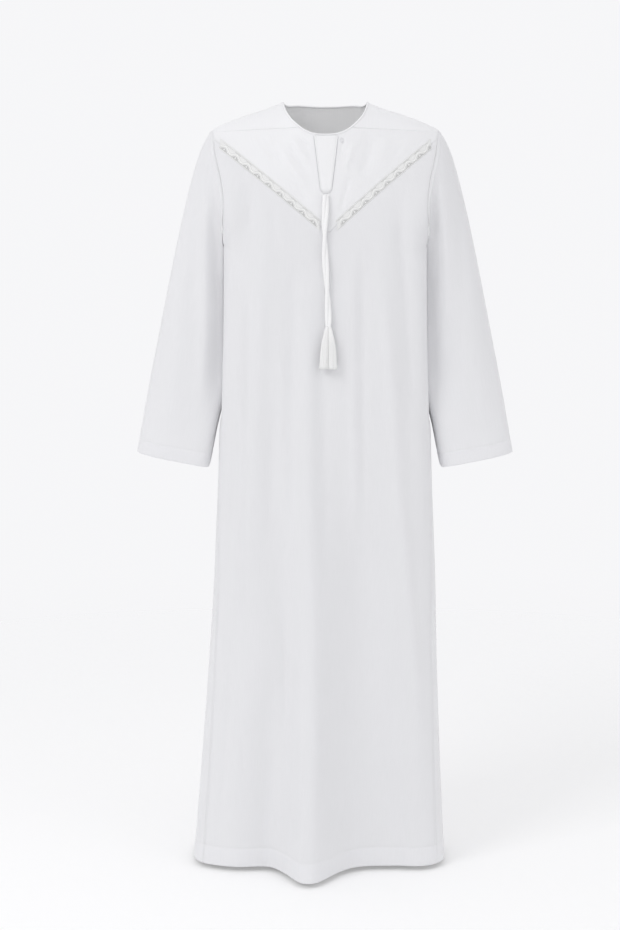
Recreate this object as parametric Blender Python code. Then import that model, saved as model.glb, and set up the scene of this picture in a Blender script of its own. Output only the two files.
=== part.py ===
"""Ankle-length collarless robe in white cloth, in its worn, hollow form.

Metres.  +X is the wearer's left, -Y the front, +Z up.  The origin is at the centre of the neck
base, level with the tops of the shoulders.  Left and right are the wearer's own.
The body is one smooth outline surface: plan sections below the chest, rounded over the shoulders
above it, with soft folds laid on along its normals.  Every panel is a patch of that surface, so
neighbours share their seam lines.  A panel's inner face is its outer face moved in along that
surface's own normals, which both sides of a seam share, so the walls never meet inside it.
"""
import bmesh
import bpy
import numpy as np

for stale in list(bpy.data.objects):
    bpy.data.objects.remove(stale)

# ---------------------------------------------------------------- driving sizes
WALL = 0.0015                 # single cloth with its backing
HEM_WALL = 0.0024             # turned-up hems and cuffs
SEAM_GAP = 0.0003
HEM_Z = -1.482
HEM_DEPTH = 0.038
HEM_STEP = 0.002              # height over which a hem's wall thickens
HEM_ROWS = 3                  # rows of points in a turned-up hem
CHEST_Z = -0.270              # the shoulders round off above this level
ARMPIT_Z = -0.265
HALF_DEPTH = 0.105            # of the body at the chest, front and back alike
COMMON_Z = -0.360             # every panel's rows are level below this
GORE_TOP_HALF = 0.010         # half the gore's width at the armpit

NECK_HALF_WIDTH = 0.081
NECK_FRONT_Y = -0.075
NECK_BACK_Y = 0.046
NECK_SQUARENESS = 2.8
BINDING_RADIUS = 0.0020

FRONT_SEAM_NECK_Z = -0.053    # where the forward shoulder seams meet the neckline
FRONT_SEAM_ARM_Z = -0.060
BACK_SEAM_Z = -0.095

V_APEX = (0.0055, -0.249)     # x, z
V_END_Z = -0.079              # where the V seam meets the armholes
V_BOW = 0.003
BAND_WIDTH = 0.016
BAND_WALL = 0.0012
BAND_INNER_X = {"right": -0.0105, "left": 0.0214}
BAND_END_MARGIN = 0.002

PLACKET_X = 0.0008
PLACKET_TOP_HALF = 0.0250
PLACKET_BOTTOM_HALF = 0.0098
PLACKET_TOP_Z = -0.0690
PLACKET_BOTTOM_Z = -0.1760
PLACKET_WALL = 0.0014

CORD_RADIUS = 0.0060
CORD_ROUTE = (                # x, y, z of the cord's centre line, top to bottom
    (0.0004, -0.1064, -0.1785),
    (-0.0004, -0.1090, -0.2050),
    (-0.0019, -0.1112, -0.2450),
    (-0.0004, -0.1118, -0.3000),
    (0.0030, -0.1120, -0.3560),
    (0.0046, -0.1127, -0.3900),
    (0.0053, -0.1136, -0.4265),
)
CORD_POINTS = 20

TASSEL_TOP_Z = -0.4268
TASSEL_HEAD_LENGTH = 0.014
TASSEL_BOTTOM_Z = -0.5040
TASSEL_TOP_HALF = 0.0062
TASSEL_SPREAD_X = 0.0172
TASSEL_SPREAD_Y = 0.0085
TASSEL_LEAN = 0.0030          # its strands hang clear of the cloth
TASSEL_RINGS = (5, 10, 16)    # strands in each ring, centre outwards

BODY_COLUMNS = ("z", "half_width", "squareness")
BODY = (
    (-0.100, 0.2450, 3.00),
    (-0.160, 0.2380, 3.00),
    (-0.200, 0.2300, 3.00),
    (-0.230, 0.2120, 3.00),
    (-0.250, 0.2005, 3.00),
    (-0.265, 0.1986, 3.00),
    (-0.290, 0.1978, 3.05),
    (-0.378, 0.1986, 3.10),
    (-0.475, 0.2005, 3.10),
    (-0.564, 0.2036, 3.20),
    (-0.701, 0.2072, 3.30),
    (-0.843, 0.2138, 3.40),
    (-1.059, 0.2234, 3.60),
    (-1.278, 0.2359, 3.80),
    (-1.482, 0.2496, 4.00),
)

SHOULDER_COLUMNS = ("x", "z")
SHOULDER = (
    (0.000, 0.0205),
    (0.030, 0.0200),
    (0.055, 0.0145),
    (0.079, -0.0005),
    (0.102, -0.0110),
    (0.171, -0.0340),
    (0.206, -0.0490),
    (0.217, -0.0547),
)

ARMHOLE_COLUMNS = ("z", "x")
ARMHOLE = (
    (-0.0547, 0.2168),
    (-0.0600, 0.2130),
    (-0.0900, 0.2075),
    (-0.1200, 0.2030),
    (-0.1710, 0.1952),
    (-0.2050, 0.1930),
    (-0.2300, 0.1940),
    (-0.2500, 0.1963),
    (-0.2650, 0.1985),
)

GORE_COLUMNS = ("z", "edge_y")          # how far the gore reaches round to the front and back
GORE = (
    (-0.265, 0.0100),
    (-0.564, 0.0330),
    (-0.701, 0.0470),
    (-0.910, 0.0640),
    (-1.200, 0.0720),
    (-1.482, 0.0770),
)

SWING_COLUMNS = ("z", "x")              # the skirt hangs a little to the wearer's right
SWING = ((0.0, 0.0), (-0.900, 0.0), (-1.060, -0.0031), (-1.278, -0.0074), (-1.482, -0.0110))

# Each fold is a soft ridge (or trough, where its rise is negative) that runs down the body.
FOLD_COLUMNS = ("side", "top_z", "top_x", "hem_x", "top_width", "hem_width", "rise", "growth",
                "right_power", "left_power")     # how squarely each flank falls away
FOLDS = (
    ("front", -0.330, -0.045, -0.033, 0.040, 0.056, 0.0930, 1.55, 3.4, 2.1),
    ("front", -0.450, 0.075, 0.145, 0.030, 0.034, 0.0090, 0.90, 2.3, 2.3),
    ("front", -0.420, 0.010, 0.085, 0.030, 0.040, -0.0070, 0.70, 2.3, 2.3),
    ("front", -0.150, -0.100, -0.150, 0.022, 0.040, 0.0050, 0.40, 2.3, 2.3),
    ("front", -0.130, 0.130, 0.185, 0.020, 0.034, -0.0050, 0.35, 2.3, 2.3),
    ("back", -0.200, -0.070, -0.105, 0.034, 0.050, 0.0300, 1.10, 2.3, 2.3),
    ("back", -0.240, 0.085, 0.090, 0.034, 0.052, 0.0360, 1.20, 2.3, 2.3),
    ("back", -0.300, 0.005, -0.010, 0.036, 0.046, -0.0100, 1.00, 2.3, 2.3),
)
FOLD_FADE = 0.070             # length over which a fold starts
NORMAL_STEP = 0.0002
SHARP_ANGLE = 0.7

SLEEVE_COLUMNS = ("outer_x", "outer_z", "inner_x", "inner_z", "half_depth", "armhole_share")
SLEEVE = (
    (0.2172, -0.0560, 0.1989, -0.2646, 0.0680, 1.00),
    (0.2310, -0.0770, 0.2001, -0.2720, 0.0680, 0.80),
    (0.2432, -0.1050, 0.2010, -0.2840, 0.0680, 0.55),
    (0.2553, -0.1440, 0.2017, -0.3020, 0.0675, 0.30),
    (0.2671, -0.1890, 0.2023, -0.3260, 0.0670, 0.12),
    (0.2790, -0.2390, 0.2028, -0.3560, 0.0655, 0.02),
    (0.2925, -0.3000, 0.2034, -0.3950, 0.0635, 0.00),
    (0.3075, -0.3720, 0.2044, -0.4460, 0.0605, 0.00),
    (0.3225, -0.4450, 0.2062, -0.5020, 0.0565, 0.00),
    (0.3370, -0.5150, 0.2080, -0.5600, 0.0525, 0.00),
    (0.3500, -0.5820, 0.2140, -0.6150, 0.0490, 0.00),
    (0.3600, -0.6360, 0.2205, -0.6620, 0.0460, 0.00),
    (0.3668, -0.6739, 0.2262, -0.7015, 0.0435, 0.00),
)
SLEEVE_SQUARENESS = 2.2
SLEEVE_RINGS_BETWEEN = 1      # extra rings between two rows of the table
SLEEVE_LENGTH = 0.635         # along the outer line, from the armhole to the cuff

# ---------------------------------------------------------------- tables and curves


def column(table, columns, name):
    """One named column of a table as an array."""
    return np.array([row[columns.index(name)] for row in table], dtype=float)


def ease(x, xs, ys):
    """Smooth curve through a table's points that never overshoots them."""
    order = np.argsort(xs)
    xs = np.asarray(xs, dtype=float)[order]
    ys = np.asarray(ys, dtype=float)[order]
    step = np.diff(xs)
    slope = np.diff(ys) / step
    tangent = np.concatenate(([slope[0]], (slope[1:] + slope[:-1]) / 2, [slope[-1]]))
    turning = np.concatenate(([False], slope[1:] * slope[:-1] <= 0, [False]))
    steepest = 3 * np.minimum(np.abs(np.concatenate(([slope[0]], slope))),
                              np.abs(np.concatenate((slope, [slope[-1]]))))
    tangent = np.where(turning, 0, np.clip(tangent, -steepest, steepest))
    x = np.clip(x, xs[0], xs[-1])
    i = np.clip(np.searchsorted(xs, x) - 1, 0, len(step) - 1)
    t = (x - xs[i]) / step[i]
    start = ys[i] * (1 + 2 * t) * (1 - t) ** 2 + ys[i + 1] * t * t * (3 - 2 * t)
    return start + step[i] * t * (1 - t) * (tangent[i] * (1 - t) - tangent[i + 1] * t)


def body_value(name, z):
    return ease(z, column(BODY, BODY_COLUMNS, "z"), column(BODY, BODY_COLUMNS, name))


def shoulder_z(x):
    """Height of the shoulder ridge, which is also the virtual ridge across the neck."""
    return ease(np.abs(x), column(SHOULDER, SHOULDER_COLUMNS, "x"),
                column(SHOULDER, SHOULDER_COLUMNS, "z"))


def armhole_x(z):
    return ease(z, column(ARMHOLE, ARMHOLE_COLUMNS, "z"), column(ARMHOLE, ARMHOLE_COLUMNS, "x"))


def smoothstep(t):
    t = np.clip(t, 0, 1)
    return t * t * (3 - 2 * t)


# The body's plan is a squared oval.  Its quarter turn from centre front to the side line is
# measured as a share of arc length, so that columns spread evenly round the corner.
TURN = np.linspace(0, np.pi / 2, 400)
PLAN_RADIUS = ((np.sin(TURN) / 0.205) ** 3.3 + (np.cos(TURN) / HALF_DEPTH) ** 3.3) ** (-1 / 3.3)
PLAN_STEPS = np.hypot(np.diff(PLAN_RADIUS * np.sin(TURN)), np.diff(PLAN_RADIUS * np.cos(TURN)))
QUARTER_ARC = float(PLAN_STEPS.sum())
TURN_SHARE = np.concatenate(([0], np.cumsum(PLAN_STEPS))) / QUARTER_ARC

# ---------------------------------------------------------------- the body surface


def fold_rise(x, y, z):
    """Height of the folds over the plain surface."""
    rise = np.zeros(np.broadcast(x, y, z).shape)
    for row in FOLDS:
        fold = dict(zip(FOLD_COLUMNS, row))
        way = -1 if fold["side"] == "front" else 1
        down = np.clip((fold["top_z"] - z) / (fold["top_z"] - HEM_Z), 0, 1)
        centre = fold["top_x"] + (fold["hem_x"] - fold["top_x"]) * down
        width = fold["top_width"] + (fold["hem_width"] - fold["top_width"]) * down
        start = smoothstep((fold["top_z"] - z) / FOLD_FADE)
        power = np.where(x < centre, fold["right_power"], fold["left_power"])
        across = np.exp(-np.abs((x - centre) / width) ** power)
        facing = smoothstep(way * y / HALF_DEPTH * 1.6)
        rise = rise + fold["rise"] * down ** fold["growth"] * start * across * facing
    return rise


def place(x, y, z, half_width, squareness):
    """Lay the folds on the plain surface and swing the skirt to the side."""
    nx = np.sign(x) * np.abs(x / half_width) ** (squareness - 1) / half_width
    ny = np.sign(y) * np.abs(y / HALF_DEPTH) ** (squareness - 1) / HALF_DEPTH
    size = np.maximum(np.hypot(nx, ny), 1e-9)
    rise = fold_rise(x, y, z)
    swing = ease(z, column(SWING, SWING_COLUMNS, "z"), column(SWING, SWING_COLUMNS, "x"))
    return np.stack([x + nx / size * rise + swing, y + ny / size * rise, z], axis=-1)


def round_shoulder(x, z):
    """Share of the full depth at a height: 0 on the shoulder ridge, 1 from the chest down."""
    share = (z - CHEST_Z) / (shoulder_z(x) - CHEST_Z)
    return np.sqrt(1 - np.clip(share, 0, 1) ** 2)


def body_point(turn, z):
    """Point of the body: turn is 0 at centre front, +-1 at the sides and +-2 at centre back."""
    turn, z = np.broadcast_arrays(np.asarray(turn, dtype=float), np.asarray(z, dtype=float))
    turn = (turn + 2) % 4 - 2
    behind = np.abs(turn) > 1
    quarter = np.where(behind, 2 - np.abs(turn), np.abs(turn))
    angle = np.interp(quarter, TURN_SHARE, TURN)
    half_width = body_value("half_width", z)
    squareness = body_value("squareness", z)
    radius = ((np.sin(angle) / half_width) ** squareness
              + (np.cos(angle) / HALF_DEPTH) ** squareness) ** (-1 / squareness)
    x = np.sign(turn) * radius * np.sin(angle)
    y = np.where(behind, 1, -1) * radius * np.cos(angle) * round_shoulder(x, z)
    return place(x, y, z, half_width, squareness)


def turn_of(x, z):
    """The turn at which the front or back surface reaches x at height z."""
    half_width = body_value("half_width", z)
    squareness = body_value("squareness", z)
    share = np.clip(np.abs(x) / half_width, 0, 1)
    depth = HALF_DEPTH * (1 - share ** squareness) ** (1 / squareness)
    return np.sign(x) * np.interp(np.arctan2(np.abs(x), depth), TURN, TURN_SHARE)


def turn_of_depth(y, z):
    """The turn at which the side surface reaches the depth y, forward of the side line."""
    half_width = body_value("half_width", z)
    squareness = body_value("squareness", z)
    x = half_width * (1 - (y / HALF_DEPTH) ** squareness) ** (1 / squareness)
    return np.interp(np.arctan2(x, y), TURN, TURN_SHARE)


def front_point(x, z):
    return body_point(turn_of(x, z), z)


def shoulder_point(x, y):
    """Point over the shoulders, straight above (x, y)."""
    width = BODY[0][BODY_COLUMNS.index("half_width")]
    power = BODY[0][BODY_COLUMNS.index("squareness")]
    depth = HALF_DEPTH * (1 - np.abs(x / width) ** power) ** (1 / power)
    z = CHEST_Z + (shoulder_z(x) - CHEST_Z) * np.sqrt(1 - np.clip(y / depth, -1, 1) ** 2)
    return np.stack([x + 0 * z, y + 0 * z, z], axis=-1)


def panel_edge(z):
    """Turn of the front panel's side edge: the armhole above the armpit, the gore seam below."""
    armhole = turn_of(armhole_x(z), z)
    gore_y = ease(z, column(GORE, GORE_COLUMNS, "z"), column(GORE, GORE_COLUMNS, "edge_y"))
    return np.where(z > ARMPIT_Z + 1e-6, armhole, turn_of_depth(gore_y, z))


def unit(vectors):
    return vectors / np.linalg.norm(vectors, axis=-1, keepdims=True)


def body_normal(turn, z):
    """Outward normal of the folded body surface."""
    across = body_point(turn + NORMAL_STEP, z) - body_point(turn - NORMAL_STEP, z)
    down = body_point(turn, z - NORMAL_STEP) - body_point(turn, z + NORMAL_STEP)
    return unit(np.cross(down, across))


def shoulder_normal(x, y):
    """Outward normal over the shoulders."""
    along_x = shoulder_point(x + NORMAL_STEP, y) - shoulder_point(x - NORMAL_STEP, y)
    along_y = shoulder_point(x, y + NORMAL_STEP) - shoulder_point(x, y - NORMAL_STEP)
    return unit(np.cross(along_x, along_y))


# ---------------------------------------------------------------- seam lines

ROWS_TO_ARMPIT = np.array([0, 0.11, 0.24, 0.37, 0.50, 0.63, 0.76, 0.89, 1.0])
ROWS_TO_COMMON = np.array([0.35, 0.7, 1.0])
LOWER_Z = np.concatenate((np.linspace(COMMON_Z, HEM_Z + HEM_DEPTH, 13)[1:],
                          [HEM_Z + HEM_DEPTH - HEM_STEP, HEM_Z + HEM_DEPTH / 2, HEM_Z]))


def panel_rows(top_edge_z):
    """Share of the way from a panel's top line to the common level, for each upper row."""
    armpit = (top_edge_z - ARMPIT_Z) / (top_edge_z - COMMON_Z)
    return np.concatenate((ROWS_TO_ARMPIT * armpit, armpit + ROWS_TO_COMMON * (1 - armpit)))


def neck_curve(angle):
    """Plan of the neckline: angle 0 at centre front, a half turn at centre back."""
    power = 2 / NECK_SQUARENESS
    x = NECK_HALF_WIDTH * np.sign(np.sin(angle)) * np.abs(np.sin(angle)) ** power
    reach = np.where(np.cos(angle) > 0, NECK_FRONT_Y, NECK_BACK_Y)
    return x, reach * np.abs(np.cos(angle)) ** power


def front_seam(share):
    """x and z along the wearer's left forward shoulder seam, from the neck to the armhole."""
    x = NECK_CORNER_X + (armhole_x(FRONT_SEAM_ARM_Z) - NECK_CORNER_X) * share
    z = FRONT_SEAM_NECK_Z + (FRONT_SEAM_ARM_Z - FRONT_SEAM_NECK_Z) * share
    return x, z


def v_seam_z(x):
    """Height of the V seam, with a slight upward bow on each arm."""
    reach = np.where(x > V_APEX[0], armhole_x(V_END_Z) - V_APEX[0], armhole_x(V_END_Z) + V_APEX[0])
    share = np.clip(np.abs(x - V_APEX[0]) / reach, 0, 1)
    return V_APEX[1] + (V_END_Z - V_APEX[1]) * share + V_BOW * 4 * share * (1 - share)


NECK_QUARTER = np.linspace(0, np.pi / 2, 361)
NECK_RISE = shoulder_point(*neck_curve(NECK_QUARTER))[:, 2]
NECK_CORNER_ANGLE = float(np.interp(FRONT_SEAM_NECK_Z, NECK_RISE, NECK_QUARTER))
NECK_CORNER_X = float(neck_curve(NECK_CORNER_ANGLE)[0])
NECK_FRONT_ANGLES = np.linspace(-NECK_CORNER_ANGLE, NECK_CORNER_ANGLE, 15)
SEAM_SHARES = np.linspace(0, 1, 8)
BACK_COLUMNS = 25
GORE_COLUMNS_ACROSS = 8

# The shoulder yoke's columns on one side: seam to ridge, ridge to back seam, then to centre back.
YOKE_FRONT_STEPS = np.array([1, 0.8, 0.6, 0.4, 0.2])
YOKE_BACK_STEPS = np.array([0, 0.25, 0.5, 0.75, 1])
YOKE_CENTRE_STEPS = 7
RIDGE_ARM_Z = ARMHOLE[0][0]
YOKE_ARM_Z = RIDGE_ARM_Z + np.concatenate((
    (FRONT_SEAM_ARM_Z - RIDGE_ARM_Z) * YOKE_FRONT_STEPS ** 2,
    (BACK_SEAM_Z - RIDGE_ARM_Z) * YOKE_BACK_STEPS ** 2))
YOKE_ARM_WAY = np.sign(np.arange(len(YOKE_ARM_Z)) - len(YOKE_FRONT_STEPS))
NECK_SIDE_ANGLES = np.concatenate((
    np.linspace(NECK_CORNER_ANGLE, np.pi / 2, len(YOKE_FRONT_STEPS) + 1)[:-1],
    np.linspace(np.pi / 2, np.pi, len(YOKE_BACK_STEPS) + YOKE_CENTRE_STEPS)))


def yoke_top_line():
    """x and z along the front yoke's top: seam, neckline, seam, from wearer's right to left."""
    seam_x, seam_z = front_seam(SEAM_SHARES)
    neck_x, neck_y = neck_curve(NECK_FRONT_ANGLES[1:-1])
    neck_z = shoulder_point(neck_x, neck_y)[:, 2]
    x = np.concatenate((-seam_x[::-1], neck_x, seam_x))
    z = np.concatenate((seam_z[::-1], neck_z, seam_z))
    return x, z


# ---------------------------------------------------------------- meshes and materials

robe = bpy.data.collections.new("robe")
bpy.context.scene.collection.children.link(robe)


def material(name, colour, roughness):
    """Principled material; the nodes are found by type."""
    made = bpy.data.materials.new(name)
    made.use_nodes = True
    shader = next(n for n in made.node_tree.nodes if n.type == "BSDF_PRINCIPLED")
    shader.inputs["Base Color"].default_value = (*colour, 1.0)
    shader.inputs["Roughness"].default_value = roughness
    shader.inputs["Metallic"].default_value = 0.0
    return made


def cloth(name, outer, inner, finish, around=False):
    """A wall of cloth between two grids of points, rows down and columns round.

    around joins the last column to the first, as on a sleeve.
    """
    rows, columns = outer.shape[:2]
    bm = bmesh.new()
    sheets = []
    for points in (outer, inner):
        sheets.append([[bm.verts.new(p) for p in row] for row in points])
    face, back = sheets
    last = columns if around else columns - 1
    for i in range(rows - 1):
        for j in range(last):
            k = (j + 1) % columns
            bm.faces.new((face[i][j], face[i + 1][j], face[i + 1][k], face[i][k]))
            bm.faces.new((back[i][j], back[i][k], back[i + 1][k], back[i + 1][j]))
    for j in range(last):
        k = (j + 1) % columns
        bm.faces.new((face[0][j], face[0][k], back[0][k], back[0][j]))
        bm.faces.new((face[-1][j], back[-1][j], back[-1][k], face[-1][k]))
    if not around:
        for i in range(rows - 1):
            bm.faces.new((face[i][0], back[i][0], back[i + 1][0], face[i + 1][0]))
            bm.faces.new((face[i][-1], face[i + 1][-1], back[i + 1][-1], back[i][-1]))
    mesh = bpy.data.meshes.new(name)
    bm.to_mesh(mesh)
    bm.free()
    mesh.materials.append(finish)
    mesh.shade_smooth()
    mesh.set_sharp_from_angle(angle=SHARP_ANGLE)
    piece = bpy.data.objects.new(name, mesh)
    robe.objects.link(piece)
    return piece


def body_cloth(name, turn, z, finish, turned_up=False):
    """A panel of the body; turned_up thickens its last rows into a hem."""
    points = body_point(turn, z)
    wall = np.full((len(points), 1, 1), WALL)
    if turned_up:
        wall[-HEM_ROWS:] = HEM_WALL
    cloth(name, points, points - body_normal(turn, z) * wall, finish)


def laid_on(name, x, z, wall, finish):
    """A piece that lies on the front, made from the panel's points, moved out."""
    turn = turn_of(x, z)
    points = body_point(turn, z)
    normal = body_normal(turn, z)
    cloth(name, points + normal * (SEAM_GAP + wall), points + normal * SEAM_GAP, finish)


def trimmed(turn, gap=SEAM_GAP / 2):
    """Pull the outer columns back from a seam that runs along the panel's sides."""
    turn = turn.copy()
    turn[:, 0] += gap / QUARTER_ARC
    turn[:, -1] -= gap / QUARTER_ARC
    return turn


# ---------------------------------------------------------------- body panels


def v_seam_points():
    """x of each front column on the V seam, wearer's right to left."""
    top_x, _ = yoke_top_line()
    return top_x * armhole_x(V_END_Z) / armhole_x(FRONT_SEAM_ARM_Z)


def front_panel_grid():
    x = v_seam_points()
    top_z = v_seam_z(x)
    top_turn = turn_of(x, top_z)
    share = top_turn / np.where(x > 0, top_turn[-1], -top_turn[0])
    rows = panel_rows(V_END_Z)
    z = top_z + (COMMON_Z - top_z) * rows[:, None]
    edge_z = V_END_Z + (COMMON_Z - V_END_Z) * rows
    lower = np.repeat(LOWER_Z[:, None], len(x), axis=1)
    z = np.concatenate((z, lower))
    edge = panel_edge(np.concatenate((edge_z, LOWER_Z)))
    z[0] -= SEAM_GAP * 0.65
    return trimmed(share * edge[:, None]), z


def make_body(finish):
    turn, z = front_panel_grid()
    body_cloth("front_panel", turn, z, finish, turned_up=True)

    share = np.linspace(-1, 1, BACK_COLUMNS)
    level = np.concatenate((BACK_SEAM_Z + (COMMON_Z - BACK_SEAM_Z) * panel_rows(BACK_SEAM_Z), LOWER_Z))
    reach = trimmed(share * panel_edge(level)[:, None])
    z = np.repeat(level[:, None], BACK_COLUMNS, axis=1)
    z[0] -= SEAM_GAP / 2
    body_cloth("back_panel", 2 + reach, z, finish, turned_up=True)

    level = ARMPIT_Z + (COMMON_Z - ARMPIT_Z) * np.concatenate(([0], ROWS_TO_COMMON))
    level = np.concatenate((level, LOWER_Z))
    edge = panel_edge(np.minimum(level, ARMPIT_Z))
    reach = trimmed(np.linspace(-1, 1, GORE_COLUMNS_ACROSS) * (1 - edge)[:, None])
    z = np.repeat(level[:, None], GORE_COLUMNS_ACROSS, axis=1)
    for name, side in (("gore_left", 1), ("gore_right", -1)):
        body_cloth(name, side + reach, z, finish, turned_up=True)


# ---------------------------------------------------------------- yokes, neck and placket


def make_front_yoke(finish):
    top_x, top_z = yoke_top_line()
    bottom_x = v_seam_points()
    bottom_z = v_seam_z(bottom_x) + SEAM_GAP * 0.65
    on_seam = np.abs(top_x) >= NECK_CORNER_X - 1e-6
    top_z = top_z - np.where(on_seam, SEAM_GAP / 2, 0)
    share = np.linspace(0, 1, 8)[:, None]
    x = top_x + (bottom_x - top_x) * share
    z = top_z + (bottom_z - top_z) * share
    x[:, 0] += SEAM_GAP / 2
    x[:, -1] -= SEAM_GAP / 2
    body_cloth("front_yoke", turn_of(x, z), z, finish)


def yoke_outline():
    """Plan of the shoulder yoke's outer edge: the armhole, then the back seam to its centre."""
    arm_x = armhole_x(YOKE_ARM_Z)
    back_x = np.linspace(arm_x[-1], 0, YOKE_CENTRE_STEPS + 1)[1:]
    x = np.concatenate((arm_x, back_x))
    z = np.concatenate((YOKE_ARM_Z, np.full(YOKE_CENTRE_STEPS, BACK_SEAM_Z)))
    way = np.concatenate((YOKE_ARM_WAY, np.ones(YOKE_CENTRE_STEPS)))
    width = BODY[0][BODY_COLUMNS.index("half_width")]
    power = BODY[0][BODY_COLUMNS.index("squareness")]
    plan = HALF_DEPTH * (1 - (x / width) ** power) ** (1 / power)
    return x, way * plan * round_shoulder(x, z)


def make_shoulder_yoke(finish):
    """One piece from seam to seam round the back of the neck, in columns that fan outwards."""
    outer_x, outer_y = yoke_outline()
    outer_x[:len(YOKE_ARM_Z)] -= SEAM_GAP / 2
    inner_x, inner_y = neck_curve(NECK_SIDE_ANGLES)
    share = np.linspace(0, 1, 6)[:, None]
    x = inner_x + (outer_x - inner_x) * share
    y = inner_y + (outer_y - inner_y) * share
    seam_y = front_point(*front_seam(share[:, 0]))[:, 1]
    to_ridge = 1 - np.arange(len(outer_x)) / len(YOKE_FRONT_STEPS)
    y = y + (seam_y - y[:, 0])[:, None] * np.clip(to_ridge, 0, 1)
    y[:, 0] += SEAM_GAP
    y[-1, len(YOKE_ARM_Z) - 1:] -= SEAM_GAP / 2
    outer = shoulder_point(x, y)
    inner = outer - shoulder_normal(x, y) * WALL
    mirror = np.array([-1, 1, 1])
    whole = [np.concatenate((side, side[:, -2::-1] * mirror), axis=1) for side in (outer, inner)]
    cloth("shoulder_yoke", *whole, finish)


def make_neck_binding(finish):
    """Rolled binding that runs round inside the edge of the neckline."""
    angle = np.concatenate((-NECK_SIDE_ANGLES[::-1], NECK_FRONT_ANGLES[1:-1], NECK_SIDE_ANGLES[:-1]))
    x, y = neck_curve(angle)
    inset = BINDING_RADIUS + SEAM_GAP
    shrink = 1 - inset / np.hypot(x, y)
    centre = shoulder_point(x * shrink, y * shrink)
    centre[:, 2] -= WALL / 2
    curve = bpy.data.curves.new("neck_binding", "CURVE")
    curve.dimensions = "3D"
    curve.bevel_depth = BINDING_RADIUS
    curve.bevel_resolution = 2
    spline = curve.splines.new("POLY")
    spline.points.add(len(centre) - 1)
    for point, place_at in zip(spline.points, centre):
        point.co = (*place_at, 1)
    spline.use_cyclic_u = True
    curve.materials.append(finish)
    robe.objects.link(bpy.data.objects.new("neck_binding", curve))


def make_placket(finish):
    share = np.linspace(0, 1, 9)[:, None]
    half = PLACKET_TOP_HALF + (PLACKET_BOTTOM_HALF - PLACKET_TOP_HALF) * share
    x = PLACKET_X + half * np.linspace(-1, 1, 7)
    z = PLACKET_TOP_Z + (PLACKET_BOTTOM_Z - PLACKET_TOP_Z) * share + 0 * x
    laid_on("placket", x, z, PLACKET_WALL, finish)


def make_bands(finish):
    """The two raised bands that cover the V seam."""
    end_x = armhole_x(V_END_Z) - BAND_END_MARGIN
    half = BAND_WIDTH / 2 * np.hypot(1, (V_END_Z - V_APEX[1]) / end_x)
    for side, inner_x in BAND_INNER_X.items():
        x = np.linspace(inner_x, end_x, 25) if side == "left" else np.linspace(-end_x, inner_x, 25)
        z = v_seam_z(x) + np.linspace(half, -half, 4)[:, None]
        laid_on("trim_" + side, x + 0 * z, z, BAND_WALL, finish)


# ---------------------------------------------------------------- sleeves


def armhole_ring():
    """Edge of the wearer's left armhole, from the armpit round the front, top and back.

    Gives the points and the body's outward normals there.
    """
    rows = len(ROWS_TO_ARMPIT) - 1
    front_z = V_END_Z + (COMMON_Z - V_END_Z) * panel_rows(V_END_Z)[:rows]
    back_z = BACK_SEAM_Z + (COMMON_Z - BACK_SEAM_Z) * panel_rows(BACK_SEAM_Z)[:rows]
    ridge = len(YOKE_FRONT_STEPS)
    front_z = np.concatenate((front_z[::-1], YOKE_ARM_Z[:ridge]))
    back_z = np.concatenate((YOKE_ARM_Z[ridge + 1:-1], back_z))
    side = float(panel_edge(np.array(ARMPIT_Z)))
    front_turn = turn_of(armhole_x(front_z), front_z)
    back_turn = 2 - turn_of(armhole_x(back_z), back_z)
    turn = np.concatenate(([1.0, side], front_turn, back_turn, [2 - side]))
    z = np.concatenate(([ARMPIT_Z] * 2, front_z, back_z, [ARMPIT_Z]))
    points = body_point(turn, z)
    normal = body_normal(turn, z)
    top = len(front_z) + 2
    top_point = (float(armhole_x(RIDGE_ARM_Z)), 0, RIDGE_ARM_Z)
    points = np.insert(points, top, top_point, axis=0)
    normal = np.insert(normal, top, unit(normal[top - 1] + normal[top]), axis=0)
    return points, normal


def sleeve_value(name, share):
    return ease(share, np.linspace(0, 1, len(SLEEVE)), column(SLEEVE, SLEEVE_COLUMNS, name))


def sleeve_section(share, angle):
    """Squared oval of the sleeve: angle 0 on its inner line, a half turn on its outer line."""
    inner = np.stack([sleeve_value("inner_x", share), sleeve_value("inner_z", share)], axis=-1)
    outer = np.stack([sleeve_value("outer_x", share), sleeve_value("outer_z", share)], axis=-1)
    power = 2 / SLEEVE_SQUARENESS
    along = np.sign(np.cos(angle)) * np.abs(np.cos(angle)) ** power
    depth = np.sign(np.sin(angle)) * np.abs(np.sin(angle)) ** power
    middle = (inner + outer) / 2
    half = (inner - outer) / 2
    x = middle[:, :1] + half[:, :1] * along
    z = middle[:, 1:] + half[:, 1:] * along
    y = -sleeve_value("half_depth", share)[:, None] * depth
    return np.stack([x, y, z], axis=-1)


def tube_normal(points):
    """Outward normals of a tube's grid of points."""
    around = np.roll(points, -1, axis=1) - np.roll(points, 1, axis=1)
    return unit(np.cross(np.gradient(points, axis=0), around))


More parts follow.
